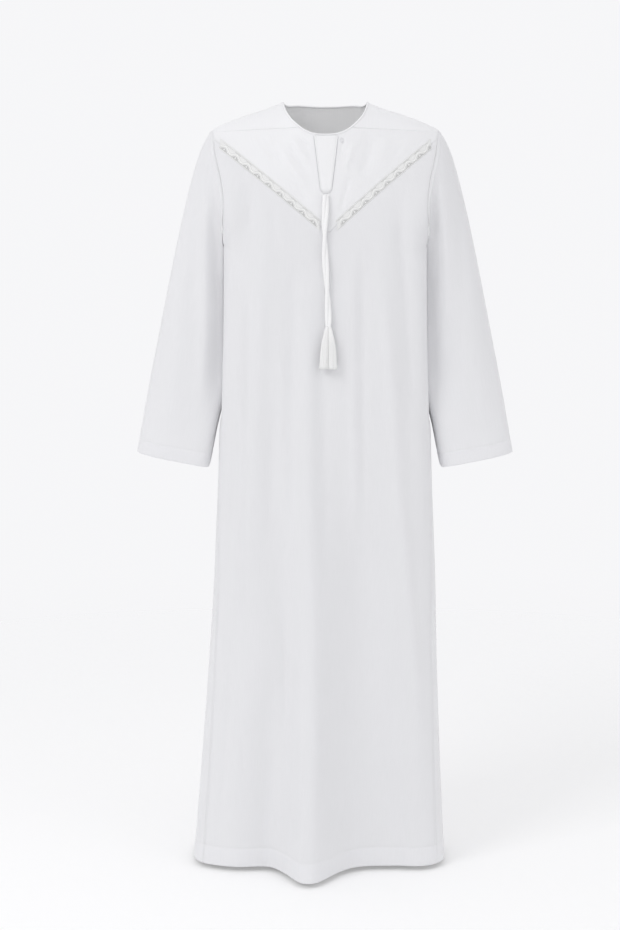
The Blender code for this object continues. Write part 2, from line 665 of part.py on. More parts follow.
def make_sleeves(finish):
    ring, ring_normal = armhole_ring()
    ring = ring + np.array([SEAM_GAP * 1.2, 0, 0])
    step = np.linalg.norm(np.roll(ring, -1, axis=0) - ring, axis=1)
    around = np.concatenate(([0], np.cumsum(step)))
    top = int(np.argmax(ring[:, 2]))
    angle = np.interp(around[:-1], [0, around[top], around[-1]], [0, np.pi, 2 * np.pi])
    count = (len(SLEEVE) - 1) * (SLEEVE_RINGS_BETWEEN + 1) + 1
    share = np.linspace(0, 1, count)
    turn_up = 1 - HEM_DEPTH / SLEEVE_LENGTH
    share = np.sort(np.concatenate((share[share < turn_up - 0.02], [turn_up, turn_up + 0.004, 1])))
    section = sleeve_section(share, angle)
    keep = sleeve_value("armhole_share", share)[:, None, None]
    points = section + keep * (ring - section[0])
    wall = np.where(share > turn_up + 0.001, HEM_WALL, WALL)[:, None, None]
    normal = tube_normal(points)
    agree = np.sum(normal[0] * ring_normal, axis=1, keepdims=True)
    normal[0] = unit(normal[0] + 2 * ring_normal * np.clip(agree, 0, 1))
    inner = points - normal * wall
    cloth("sleeve_left", points, inner, finish, around=True)
    mirror = np.array([-1, 1, 1])
    cloth("sleeve_right", points[:, ::-1] * mirror, inner[:, ::-1] * mirror, finish, around=True)


# ---------------------------------------------------------------- cord and tassel


def smooth_route(route, count):
    """Evenly spaced points on a smooth curve through a route's own points."""
    route = np.array(route)
    padded = np.vstack((2 * route[0] - route[1], route, 2 * route[-1] - route[-2]))
    fine = []
    for a, b, c, d in zip(padded, padded[1:], padded[2:], padded[3:]):
        for t in np.linspace(0, 1, 16, endpoint=False):
            fine.append(0.5 * (2 * b + (c - a) * t + (2 * a - 5 * b + 4 * c - d) * t ** 2
                               + (3 * b - a - 3 * c + d) * t ** 3))
    fine = np.array(fine + [route[-1]])
    length = np.concatenate(([0], np.cumsum(np.linalg.norm(np.diff(fine, axis=0), axis=1))))
    even = np.linspace(0, length[-1], count)
    return np.stack([np.interp(even, length, fine[:, k]) for k in range(3)], axis=-1)


def make_cord(finish):
    curve = bpy.data.curves.new("tassel_cord", "CURVE")
    curve.dimensions = "3D"
    curve.bevel_depth = CORD_RADIUS
    curve.bevel_resolution = 3
    curve.use_fill_caps = True
    spline = curve.splines.new("POLY")
    route = smooth_route(CORD_ROUTE, CORD_POINTS)
    spline.points.add(len(route) - 1)
    for point, place_at in zip(spline.points, route):
        point.co = (*place_at, 1)
    curve.materials.append(finish)
    robe.objects.link(bpy.data.objects.new("tassel_cord", curve))


def make_tassel(finish):
    """Head whose underside is a disc of cells, each drawn down into one strand."""
    x0, y0, _ = CORD_ROUTE[-1]
    head_z = TASSEL_TOP_Z - TASSEL_HEAD_LENGTH
    radius = TASSEL_TOP_HALF
    sectors = max(TASSEL_RINGS)
    bm = bmesh.new()
    profile = ((0.55, 0.0), (0.95, 0.0025), (1.0, 0.006), (0.92, 0.009), (1.08, 0.014))
    rings = []
    for scale, drop in profile:
        ring = []
        for k in range(sectors):
            a = 2 * np.pi * k / sectors
            spot = (x0 + radius * scale * np.cos(a), y0 + radius * scale * np.sin(a), TASSEL_TOP_Z - drop)
            ring.append(bm.verts.new(spot))
        rings.append(ring)
    bm.faces.new(rings[0])
    for upper, lower in zip(rings, rings[1:]):
        for k in range(sectors):
            m = (k + 1) % sectors
            bm.faces.new((upper[k], lower[k], lower[m], upper[m]))
    cells = []
    edge = rings[-1]
    for scale in (0.70, 0.36):
        inner = []
        for k in range(sectors):
            a = 2 * np.pi * k / sectors
            r = radius * profile[-1][0] * scale
            inner.append(bm.verts.new((x0 + r * np.cos(a), y0 + r * np.sin(a), head_z)))
        for k in range(sectors):
            m = (k + 1) % sectors
            cells.append(bm.faces.new((edge[k], inner[k], inner[m], edge[m])))
        edge = inner
    bm.faces.new(edge)
    bmesh.ops.recalc_face_normals(bm, faces=bm.faces)
    bmesh.ops.inset_individual(bm, faces=cells, thickness=0.00018)
    drawn = bmesh.ops.extrude_discrete_faces(bm, faces=cells)["faces"]
    length = head_z - TASSEL_BOTTOM_Z
    for number, face in enumerate(drawn):
        middle = face.calc_center_median()
        out = np.array([middle.x - x0, middle.y - y0]) / (radius * profile[-1][0])
        shorter = 0.06 * np.sin(2.4 * number) ** 2
        shift = (out[0] * (TASSEL_SPREAD_X - radius), out[1] * (TASSEL_SPREAD_Y - radius) - TASSEL_LEAN,
                 -length * (1 - shorter))
        for vert in face.verts:
            vert.co = vert.co - middle
            vert.co *= 1.7
            vert.co += middle
            vert.co.x += shift[0]
            vert.co.y += shift[1]
            vert.co.z = head_z + shift[2]
    mesh = bpy.data.meshes.new("tassel")
    bm.to_mesh(mesh)
    bm.free()
    mesh.materials.append(finish)
    robe.objects.link(bpy.data.objects.new("tassel", mesh))


# ---------------------------------------------------------------- build

cloth_white = material("cloth_white", (0.80, 0.80, 0.83), 0.75)
make_body(cloth_white)
make_sleeves(cloth_white)
yoke_white = material("yoke_white", (0.83, 0.83, 0.86), 0.7)
make_front_yoke(yoke_white)
make_shoulder_yoke(yoke_white)
make_neck_binding(material("binding_white", (0.86, 0.86, 0.88), 0.5))
make_placket(material("placket_white", (0.82, 0.82, 0.85), 0.7))
make_bands(material("band_white", (0.78, 0.78, 0.80), 0.6))
make_cord(material("cord_white", (0.80, 0.80, 0.82), 0.6))
make_tassel(material("tassel_white", (0.80, 0.80, 0.82), 0.55))
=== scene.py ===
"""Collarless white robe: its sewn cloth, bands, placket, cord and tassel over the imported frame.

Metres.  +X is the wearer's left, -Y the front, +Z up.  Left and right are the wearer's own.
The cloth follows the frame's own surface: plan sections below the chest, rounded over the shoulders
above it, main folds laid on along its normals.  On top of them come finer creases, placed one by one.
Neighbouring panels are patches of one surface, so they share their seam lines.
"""
import math

import bpy
import numpy as np
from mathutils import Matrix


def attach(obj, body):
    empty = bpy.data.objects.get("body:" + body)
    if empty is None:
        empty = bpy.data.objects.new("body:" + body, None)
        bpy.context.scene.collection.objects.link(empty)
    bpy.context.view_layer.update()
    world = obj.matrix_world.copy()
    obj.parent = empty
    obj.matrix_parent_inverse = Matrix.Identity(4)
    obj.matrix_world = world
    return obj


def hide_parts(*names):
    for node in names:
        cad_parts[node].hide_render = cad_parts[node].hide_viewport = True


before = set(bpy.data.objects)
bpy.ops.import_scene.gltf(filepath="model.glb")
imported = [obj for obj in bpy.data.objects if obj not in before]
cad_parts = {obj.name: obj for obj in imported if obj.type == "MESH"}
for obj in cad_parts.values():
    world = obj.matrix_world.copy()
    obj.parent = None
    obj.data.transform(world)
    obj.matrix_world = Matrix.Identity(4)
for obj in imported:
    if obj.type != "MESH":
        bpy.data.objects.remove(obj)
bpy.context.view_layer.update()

# ---------------------------------------------------------------- camera, light and floor sizes
SENSOR = 36.0                 # mm
LENS = 73.55                  # mm
CAMERA_AT = (-0.0292, -3.69, -0.216)
CAMERA_DOWN = 7.496           # degrees below level

BACKDROP = 0.940              # what the camera sees behind the robe
DAYLIGHT = 0.855              # even light from all round
KEY_AT = (-2.5, -2.6, 1.9)
KEY_SIZE = 1.7
KEY_POWER = 38.0
FILL_AT = (2.6, -2.2, 0.2)
FILL_SIZE = 2.2
FILL_POWER = 7.0
LIGHT_AIM = (0.0, 0.0, -0.7)
FLOOR_Z = -1.492
FLOOR_REACH = 3.2             # radius of the floor
FLOOR_SOLID = 0.9             # it fades into the backdrop beyond this radius
FLOOR_GLOW = 0.10

# ---------------------------------------------------------------- the robe's driving sizes
CLOTH = 0.0010                # wall of the shown cloth
HEM_CLOTH = 0.0020
SEAM_GAP = 0.00008            # between pieces that are sewn together
ARMHOLE_GAP = 0.0004          # by which a sleeve's head stands off the armhole
ARMPIT_STEP = 0.0012          # between the rows of cloth at the armpit
ROLL = (0.2, 0.7)             # how round a seam edge and a free edge are, of half the wall
SEAM_DROP = 0.0004            # how far a seam sinks into the cloth
SEAM_SOFT = 0.0028            # and how far that reaches
FAINT_SEAM = 0.03             # share of that sinking at the forward shoulder seams
SEAM_ALLOWANCE_RISE = 0.0009  # the turned edge that shows through the sleeve head
SEAM_ALLOWANCE_AT = 0.0060    # its distance from the seam
SEAM_ALLOWANCE_HALF = 0.0024  # and its half width
HEM_Z = -1.482
HEM_DEPTH = 0.037
HEM_ROLL = 0.003              # depth in which the hem's doubled cloth thickens
HEM_RELIEF = (0.0004, 0.006, 0.004)  # how much fuller it looks, and how softly at its top and edge
HEM_GROOVE = (0.0003, 0.0024)  # depth and half width of the groove at its stitches
CHEST_Z = -0.270
ARMPIT_Z = -0.265
HALF_DEPTH = 0.105
COMMON_Z = -0.360             # rows are level below this

NECK_HALF_WIDTH = 0.081
NECK_FRONT_Y = -0.075
NECK_BACK_Y = 0.046
NECK_SQUARENESS = 2.8
BINDING_RADIUS = 0.0017
BINDING_INSET = 0.0006
BINDING_DROP = 0.0013         # its middle below the yokes' surface
FRONT_SEAM_NECK_Z = -0.053
FRONT_SEAM_ARM_Z = -0.060
BACK_SEAM_Z = -0.095

V_APEX = (0.0055, -0.249)     # x, z
V_END_Z = -0.0725
V_BOW = 0.003
BAND_WIDTH = 0.016
BAND_WALL = 0.0008
BAND_INNER_X = {"right": -0.0105, "left": 0.0214}
BAND_END_X = 0.1990

PLACKET_X = 0.0008
PLACKET_TOP_HALF = 0.0226
PLACKET_BOTTOM_HALF = 0.0093
PLACKET_TOP_Z = -0.0690
PLACKET_BOTTOM_Z = -0.1760
PLACKET_WALL = 0.0020
PLACKET_FOOT = (0.93, 0.0032)  # share of the way down where it draws in, and by how much on each side
PLACKET_EDGE_RADIUS = 0.0005
PLACKET_FOLD_Z = -0.0745      # a crease across the placket, just under the binding

LOOP_AT = (0.0300, -0.0770)   # x, z of the middle of the thread loop beside the placket
LOOP_HALF = (0.0024, 0.0042)  # half its width and height
LOOP_THREAD = 0.00036
KNOT_AT = (0.0330, -0.0800)
KNOT_HALF = (0.0008, 0.0011)

CORD_EXIT = (0.0004, -0.1064, -0.1785)
CORD_ROUTE = (                # x, y, z of the cord's centre line, top to bottom
    CORD_EXIT,
    (-0.0004, -0.1090, -0.2050),
    (-0.0019, -0.1112, -0.2450),
    (-0.0004, -0.1118, -0.3000),
    (0.0030, -0.1120, -0.3560),
    (0.0046, -0.1127, -0.3900),
    (0.0053, -0.1136, -0.4265),
)
CORD_POINTS = 30
STRAND_RADIUS = 0.0036        # each of the cord's two strands
STRAND_OFFSET = 0.0029
HALF_TURN = 0.100             # length in which the strands change places
CROSSING_Z = -0.256           # where they first cross
PLY_PITCH = 0.009
PLY_DEPTH = 0.07              # of a strand's radius
CORD_DRAWN_IN = (0.25, 0.008)  # how much narrower it is at the tassel, and within what length

TASSEL_TOP_Z = -0.4235
TASSEL_BOTTOM_Z = -0.5040
TASSEL_LEAN = 0.0030
TASSEL_FLATNESS = 0.52        # its depth as a share of its width
LOCK_SHIFT = 0.49             # each of its two locks from the middle, as a share of its half width
LOCK_STRANDS = 30
TASSEL_STRAND_RADIUS = 0.00095
TASSEL_CORE = 0.92            # width of a lock's core, as a share of the lock's
TASSEL_STRANDS_AT = 0.95      # and of the ring of strands round it
TASSEL_PROFILE = (            # share of the way down, half width
    (0.000, 0.0034),
    (0.030, 0.0052),
    (0.090, 0.0068),
    (0.185, 0.0086),
    (0.317, 0.0112),
    (0.456, 0.0132),
    (0.727, 0.0150),
    (1.000, 0.0166),
)

BODY_COLUMNS = ("z", "half_width", "squareness")
BODY = (
    (-0.100, 0.2450, 3.00),
    (-0.160, 0.2380, 3.20),
    (-0.200, 0.2300, 3.60),
    (-0.230, 0.2120, 4.00),
    (-0.250, 0.2005, 4.15),
    (-0.265, 0.1986, 4.20),
    (-0.290, 0.1978, 4.20),
    (-0.378, 0.1986, 4.20),
    (-0.475, 0.2005, 4.20),
    (-0.564, 0.2036, 4.10),
    (-0.701, 0.2072, 4.00),
    (-0.843, 0.2138, 3.90),
    (-1.059, 0.2234, 3.85),
    (-1.278, 0.2359, 3.90),
    (-1.482, 0.2496, 4.00),
)

SHOULDER = (                  # x, z of the shoulder ridge
    (0.000, 0.0205),
    (0.030, 0.0200),
    (0.055, 0.0145),
    (0.079, -0.0014),
    (0.102, -0.0110),
    (0.171, -0.0340),
    (0.206, -0.0490),
    (0.217, -0.0547),
)

ARMHOLE = (                   # z, x of the armhole seam
    (-0.0547, 0.2168),
    (-0.0600, 0.2146),
    (-0.0900, 0.2110),
    (-0.1200, 0.2050),
    (-0.1500, 0.1978),
    (-0.1800, 0.1934),
    (-0.2050, 0.1926),
    (-0.2300, 0.1940),
    (-0.2500, 0.1963),
    (-0.2650, 0.1985),
)

GORE = (                      # z, how far the gore reaches round to the front and back
    (-0.265, 0.0100),
    (-0.564, 0.0330),
    (-0.701, 0.0470),
    (-0.910, 0.0640),
    (-1.200, 0.0720),
    (-1.482, 0.0770),
)

FLANK_HOLLOW = 0.0095         # how far the arms press in the sides of the body
FLANK_REACH = (0.040, 0.062)  # the hollow is full within the first depth and ends at the second
FLANK_TOP = (-0.248, 0.045)   # height at which the hollow begins, and the depth in which it fills
FLANK_END = (-0.640, 0.100)   # height at which it ends, and the depth in which it fades
FLANK_INSET = (0.65, 0.90)    # it starts and is full at these shares of the body's half width
FLANK_GAP = 0.0008            # clear space that a sleeve is given beside the body
FLANK_BEND = 0.0010           # how softly a sleeve turns aside to keep it
FLANK_GAP_TOP = (-0.252, 0.014)  # height at which this begins, and the depth in which it takes full hold

SWING = (                     # z, x by which the skirt hangs to the wearer's right
    (0.0, 0.0), (-0.900, 0.0), (-1.060, -0.0031), (-1.278, -0.0074), (-1.482, -0.0110),
)

# The frame's own main folds.
FOLD_COLUMNS = ("side", "top_z", "top_x", "hem_x", "top_width", "hem_width", "rise", "growth",
                "right_power", "left_power")
FOLDS = (
    ("front", -0.330, -0.034, -0.018, 0.032, 0.053, 0.0930, 1.85, 3.0, 1.9),
    ("front", -0.300, 0.106, 0.200, 0.024, 0.034, 0.0100, 0.60, 2.3, 2.3),
    ("front", -0.420, 0.010, 0.085, 0.030, 0.040, -0.0070, 0.70, 2.3, 2.3),
    ("front", -0.150, -0.100, -0.150, 0.022, 0.040, 0.0050, 0.40, 2.3, 2.3),
    ("front", -0.130, 0.130, 0.185, 0.020, 0.034, -0.0050, 0.35, 2.3, 2.3),
    ("back", -0.200, -0.070, -0.105, 0.034, 0.050, 0.0300, 1.10, 2.3, 2.3),
    ("back", -0.240, 0.085, 0.090, 0.034, 0.052, 0.0360, 1.20, 2.3, 2.3),
    ("back", -0.300, 0.005, -0.010, 0.036, 0.046, -0.0100, 1.00, 2.3, 2.3),
)
FOLD_FADE = 0.070
FACE_FULL = 1.6               # folds are full where the depth is over 1 / 1.6 of the half depth
NORMAL_STEP = 0.0002

# Finer creases: the line that each follows (x, z), its half width, and its rise (a trough's is
# negative).  They fade out at both ends.
FRONT_CREASES = (
    # chest and skirt, wearer's right
    (((-0.112, -0.225), (-0.122, -0.330), (-0.130, -0.480), (-0.137, -0.690), (-0.140, -0.960)),
     0.018, 0.0062),
    (((-0.146, -0.330), (-0.148, -0.480), (-0.152, -0.680)), 0.011, -0.0050),
    (((-0.166, -0.420), (-0.160, -0.600), (-0.166, -0.820), (-0.172, -1.050)), 0.012, 0.0045),
    (((-0.082, -0.420), (-0.081, -0.620), (-0.079, -0.840)), 0.010, 0.0036),
    (((-0.104, -0.560), (-0.106, -0.700), (-0.108, -0.860)), 0.009, -0.0022),
    (((-0.072, -0.920), (-0.066, -1.120), (-0.060, -1.280), (-0.058, -1.440), (-0.056, -1.600)),
     0.015, -0.0125),
    (((-0.108, -1.040), (-0.112, -1.240), (-0.118, -1.480), (-0.124, -1.720)), 0.044, -0.0070),
    (((-0.153, -1.200), (-0.152, -1.270), (-0.151, -1.340)), 0.005, -0.0014),
    (((-0.178, -1.000), (-0.190, -1.260), (-0.204, -1.480)), 0.014, -0.0026),
    (((-0.060, -0.290), (-0.060, -0.420), (-0.062, -0.560)), 0.016, -0.0036),
    # centre
    (((-0.033, -0.300), (-0.033, -0.500), (-0.032, -0.700), (-0.028, -0.900), (-0.019, -1.080),
      (-0.013, -1.250), (-0.010, -1.480)), 0.017, 0.0050),
    (((-0.006, -0.360), (-0.006, -0.560), (-0.002, -0.760), (0.004, -0.940)), 0.015, -0.0042),
    # chest and skirt, wearer's left
    (((0.050, -0.240), (0.051, -0.400), (0.053, -0.560), (0.056, -0.720), (0.058, -0.880)), 0.011, 0.0048),
    (((0.069, -0.260), (0.070, -0.450), (0.072, -0.620), (0.077, -0.800)), 0.009, -0.0028),
    (((0.105, -0.230), (0.110, -0.340), (0.120, -0.469), (0.130, -0.564), (0.136, -0.659), (0.140, -0.755),
      (0.152, -0.852), (0.160, -0.949), (0.173, -1.047), (0.183, -1.146), (0.186, -1.246), (0.190, -1.380)),
     0.014, 0.0059),
    (((0.062, -0.640), (0.074, -0.860), (0.094, -1.060), (0.116, -1.250), (0.136, -1.440), (0.150, -1.600)),
     0.040, -0.0155),
    (((0.150, -0.150), (0.142, -0.216), (0.150, -0.320), (0.160, -0.450), (0.172, -0.620)), 0.015, -0.0067),
    (((0.196, -0.700), (0.206, -0.920), (0.216, -1.150)), 0.012, -0.0020),
    (((-0.150, -0.150), (-0.142, -0.200), (-0.150, -0.260)), 0.012, -0.0039),
    (((-0.172, -0.140), (-0.176, -0.240), (-0.180, -0.400)), 0.010, 0.0028),
    (((-0.100, -0.190), (-0.098, -0.240), (-0.090, -0.290)), 0.010, -0.0022),
    # yoke, fanning out from the neck and the placket
    (((-0.125, -0.054), (-0.115, -0.078), (-0.099, -0.101), (-0.084, -0.122)), 0.0076, -0.0028),
    (((-0.058, -0.068), (-0.043, -0.080), (-0.027, -0.093)), 0.0040, -0.0030),
    (((-0.063, -0.073), (-0.048, -0.096), (-0.027, -0.117)), 0.0046, 0.0030),
    (((-0.073, -0.080), (-0.053, -0.114), (-0.027, -0.140)), 0.0054, -0.0036),
    (((-0.087, -0.082), (-0.067, -0.123), (-0.031, -0.160)), 0.0066, 0.0034),
    (((-0.096, -0.066), (-0.095, -0.090), (-0.082, -0.118)), 0.0048, -0.0018),
    (((-0.070, -0.140), (-0.050, -0.170), (-0.030, -0.196)), 0.0062, -0.0030),
    (((0.037, -0.070), (0.031, -0.088), (0.026, -0.112)), 0.0034, -0.0020),
    (((0.058, -0.070), (0.046, -0.104), (0.036, -0.138)), 0.0046, 0.0032),
    (((0.089, -0.064), (0.078, -0.110), (0.062, -0.150)), 0.0100, -0.0042),
    (((0.116, -0.060), (0.111, -0.090), (0.098, -0.116)), 0.0075, 0.0016),
    (((0.149, -0.070), (0.134, -0.098), (0.116, -0.122)), 0.0055, -0.0012),
    (((0.046, -0.140), (0.036, -0.176), (0.028, -0.212)), 0.0054, -0.0026),
)
BACK_CREASES = (
    (((-0.130, -0.125), (-0.118, -0.260), (-0.122, -0.480), (-0.140, -0.800)), 0.020, 0.0090),
    (((-0.160, -0.180), (-0.158, -0.330), (-0.162, -0.560)), 0.015, -0.0079),
    (((-0.094, -0.150), (-0.092, -0.300), (-0.100, -0.520)), 0.014, -0.0061),
    (((-0.040, -0.120), (-0.034, -0.280), (-0.030, -0.520), (-0.040, -0.860)), 0.018, 0.0065),
    (((0.010, -0.140), (0.014, -0.320), (0.008, -0.600), (-0.006, -0.900)), 0.016, -0.0072),
    (((0.050, -0.120), (0.046, -0.260), (0.050, -0.460)), 0.016, 0.0054),
    (((0.126, -0.130), (0.118, -0.280), (0.128, -0.520), (0.136, -0.840)), 0.020, 0.0090),
    (((0.160, -0.170), (0.156, -0.340), (0.166, -0.620)), 0.014, -0.0079),
    (((0.000, -0.760), (0.008, -1.020), (0.000, -1.300), (-0.004, -1.470)), 0.026, -0.0108),
    (((-0.056, -0.900), (-0.052, -1.160), (-0.046, -1.470)), 0.017, 0.0072),
    (((-0.160, -0.820), (-0.172, -1.100), (-0.186, -1.460)), 0.018, -0.0083),
    (((-0.196, -0.900), (-0.206, -1.180), (-0.216, -1.460)), 0.014, 0.0054),
    (((0.150, -0.900), (0.158, -1.160), (0.168, -1.460)), 0.018, -0.0079),
    (((0.192, -0.860), (0.200, -1.160), (0.206, -1.460)), 0.014, 0.0058),
    (((0.044, -0.980), (0.040, -1.200), (0.034, -1.470)), 0.015, 0.0054),
    (((-0.180, -0.120), (-0.160, -0.160), (-0.120, -0.190)), 0.012, -0.0036),
    (((0.180, -0.120), (0.158, -0.156), (0.124, -0.176)), 0.012, -0.0036),
)

SLEEVE_COLUMNS = ("outer_x", "outer_z", "inner_x", "inner_z", "half_depth", "armhole_share")
SLEEVE = (
    (0.2172, -0.0560, 0.1989, -0.2646, 0.0680, 1.00),
    (0.2310, -0.0770, 0.1989, -0.2720, 0.0680, 0.80),
    (0.2432, -0.1050, 0.1986, -0.2840, 0.0680, 0.55),
    (0.2553, -0.1440, 0.1984, -0.3020, 0.0675, 0.30),
    (0.2671, -0.1890, 0.1985, -0.3260, 0.0670, 0.12),
    (0.2790, -0.2390, 0.1988, -0.3560, 0.0655, 0.02),
    (0.2925, -0.3000, 0.1993, -0.3950, 0.0635, 0.00),
    (0.3075, -0.3720, 0.2003, -0.4460, 0.0605, 0.00),
    (0.3225, -0.4450, 0.2015, -0.5020, 0.0565, 0.00),
    (0.3370, -0.5150, 0.2036, -0.5600, 0.0525, 0.00),
    (0.3500, -0.5820, 0.2092, -0.6150, 0.0490, 0.00),
    (0.3600, -0.6360, 0.2175, -0.6620, 0.0460, 0.00),
    (0.3668, -0.6739, 0.2262, -0.7015, 0.0435, 0.00),
)
SLEEVE_SQUARENESS = 2.2
SLEEVE_INNER_SQUARENESS = 6.0  # fuller on the side that rests against the body
SLEEVE_LENGTH = 0.635
SLEEVE_GIRTH = 0.42

# Creases of the sleeves, listed as if both were on the wearer's left: x, z as above.
SLEEVE_CREASES = {
    ("right", "front"): (
        (((0.226, -0.105), (0.227, -0.250), (0.229, -0.420), (0.240, -0.600)), 0.011, 0.0042),
        (((0.247, -0.130), (0.250, -0.260), (0.256, -0.430)), 0.013, -0.0040),
        (((0.266, -0.260), (0.284, -0.420), (0.300, -0.600)), 0.016, 0.0028),
        (((0.207, -0.140), (0.202, -0.250), (0.203, -0.400), (0.212, -0.640)), 0.019, -0.0150),
        (((0.300, -0.380), (0.318, -0.500), (0.334, -0.640)), 0.014, -0.0022),
        (((0.216, -0.080), (0.222, -0.110), (0.226, -0.160)), 0.008, 0.0014),
    ),
    ("left", "front"): (
        (((0.222, -0.090), (0.225, -0.200), (0.229, -0.330), (0.236, -0.460)), 0.010, 0.0042),
        (((0.250, -0.120), (0.256, -0.240), (0.262, -0.400)), 0.012, -0.0040),
        (((0.240, -0.380), (0.236, -0.500), (0.242, -0.640)), 0.014, -0.0036),
        (((0.270, -0.330), (0.288, -0.470), (0.302, -0.640)), 0.017, 0.0032),
        (((0.207, -0.130), (0.202, -0.240), (0.204, -0.400), (0.213, -0.640)), 0.022, -0.0210),
        (((0.312, -0.440), (0.324, -0.540), (0.338, -0.650)), 0.012, -0.0022),
    ),
    ("right", "back"): (
        (((0.228, -0.120), (0.236, -0.280), (0.244, -0.480)), 0.014, 0.0066),
        (((0.250, -0.140), (0.262, -0.300), (0.272, -0.470)), 0.013, -0.0063),
        (((0.280, -0.300), (0.292, -0.460), (0.312, -0.640)), 0.016, 0.0051),
        (((0.226, -0.330), (0.238, -0.400), (0.262, -0.440)), 0.010, -0.0039),
    ),
    ("left", "back"): (
        (((0.226, -0.110), (0.232, -0.260), (0.246, -0.450)), 0.013, 0.0063),
        (((0.248, -0.130), (0.258, -0.280), (0.266, -0.440)), 0.014, -0.0066),
        (((0.276, -0.320), (0.296, -0.480), (0.310, -0.620)), 0.015, 0.0048),
        (((0.240, -0.480), (0.262, -0.520), (0.290, -0.530)), 0.010, -0.0036),
    ),
}
CREASE_POINTS = 14
CREASE_FADE = 0.28
SLEEVE_CREASE_START = (0.005, 0.130)  # share of the sleeve without creases, and share in which they rise
SLEEVE_CREASE_FACE = 0.040    # they're full at this depth from the sleeve's side line

# ---------------------------------------------------------------- tables and curves


def ease(x, xs, ys):
    """Smooth curve through a table's points that never overshoots them."""
    order = np.argsort(xs)
    xs = np.asarray(xs, dtype=float)[order]
    ys = np.asarray(ys, dtype=float)[order]
    step = np.diff(xs)
    slope = np.diff(ys) / step
    tangent = np.concatenate(([slope[0]], (slope[1:] + slope[:-1]) / 2, [slope[-1]]))
    turning = np.concatenate(([False], slope[1:] * slope[:-1] <= 0, [False]))
    steepest = 3 * np.minimum(np.abs(np.concatenate(([slope[0]], slope))),
                              np.abs(np.concatenate((slope, [slope[-1]]))))
    tangent = np.where(turning, 0, np.clip(tangent, -steepest, steepest))
    x = np.clip(x, xs[0], xs[-1])
    i = np.clip(np.searchsorted(xs, x) - 1, 0, len(step) - 1)
    t = (x - xs[i]) / step[i]
    start = ys[i] * (1 + 2 * t) * (1 - t) ** 2 + ys[i + 1] * t * t * (3 - 2 * t)
    return start + step[i] * t * (1 - t) * (tangent[i] * (1 - t) - tangent[i + 1] * t)


def read(table, x):
    """A two-column table's smooth curve at x."""
    return ease(x, *np.array(table).T)


def body_value(name, z):
    rows = np.array(BODY)
    return ease(z, rows[:, 0], rows[:, BODY_COLUMNS.index(name)])


def shoulder_z(x):
    return read(SHOULDER, np.abs(x))


def armhole_x(z):
    return read(ARMHOLE, z)


def smoothstep(t):
    t = np.clip(t, 0, 1)
    return t * t * (3 - 2 * t)


def run_along(points):
    """Distance of each point of a line from its start."""
    return np.concatenate(([0], np.cumsum(np.linalg.norm(np.diff(points, axis=0), axis=1))))


def points_at(distances, run, points):
    """Points at distances along a line whose own points lie at run."""
    return np.stack([np.interp(distances, run, points[:, k]) for k in range(points.shape[1])], axis=-1)


def smooth_route(route, count):
    """Evenly spaced points on a smooth curve through a route's own points."""
    route = np.array(route)
    padded = np.vstack((2 * route[0] - route[1], route, 2 * route[-1] - route[-2]))
    fine = []
    for a, b, c, d in zip(padded, padded[1:], padded[2:], padded[3:]):
        for t in np.linspace(0, 1, 16, endpoint=False):
            fine.append(0.5 * (2 * b + (c - a) * t + (2 * a - 5 * b + 4 * c - d) * t ** 2
                               + (3 * b - a - 3 * c + d) * t ** 3))
    fine = np.array(fine + [route[-1]])
    run = run_along(fine)
    return points_at(np.linspace(0, run[-1], count), run, fine)


def unit(vectors):
    return vectors / np.maximum(np.linalg.norm(vectors, axis=-1, keepdims=True), 1e-12)


def prepared(creases):
    """Each crease as its line's points, half width and rise."""
    return [(smooth_route(path, CREASE_POINTS), width, height) for path, width, height in creases]


def crease_rise(creases, x, z):
    """Height of prepared creases at points x, z of one face of the robe."""
    shape = np.broadcast(x, z).shape
    points = np.stack([np.broadcast_to(x, shape).ravel(), np.broadcast_to(z, shape).ravel()], axis=-1)
    rise = np.zeros(len(points))
    for line, width, height in creases:
        margin = 3 * width
        near = np.all((points > line.min(axis=0) - margin) & (points < line.max(axis=0) + margin), axis=1)
        if not near.any():
            continue
        start = line[:-1]
        way = np.diff(line, axis=0)
        offset = points[near][:, None] - start
        share = np.clip((offset * way).sum(axis=2) / (way * way).sum(axis=1), 0, 1)
        away = np.linalg.norm(offset - share[..., None] * way, axis=2)
        nearest = away.argmin(axis=1)
        rows = np.arange(len(nearest))
        along = (nearest + share[rows, nearest]) / len(way)
        fade = smoothstep(along / CREASE_FADE) * smoothstep((1 - along) / CREASE_FADE)
        rise[near] += height * fade * np.exp(-(away[rows, nearest] / width) ** 2)
    return rise.reshape(shape)


FACE_CREASES = ((prepared(FRONT_CREASES), -1), (prepared(BACK_CREASES), 1))
SLEEVE_LINES = {face: prepared(creases) for face, creases in SLEEVE_CREASES.items()}

# The body's quarter turn from centre front to the side line, as a share of arc length.
TURN = np.linspace(0, np.pi / 2, 400)
PLAN_RADIUS = ((np.sin(TURN) / 0.205) ** 3.3 + (np.cos(TURN) / HALF_DEPTH) ** 3.3) ** (-1 / 3.3)
PLAN_STEPS = np.hypot(np.diff(PLAN_RADIUS * np.sin(TURN)), np.diff(PLAN_RADIUS * np.cos(TURN)))
QUARTER_ARC = float(PLAN_STEPS.sum())
TURN_SHARE = np.concatenate(([0], np.cumsum(PLAN_STEPS))) / QUARTER_ARC

# ---------------------------------------------------------------- the body surface


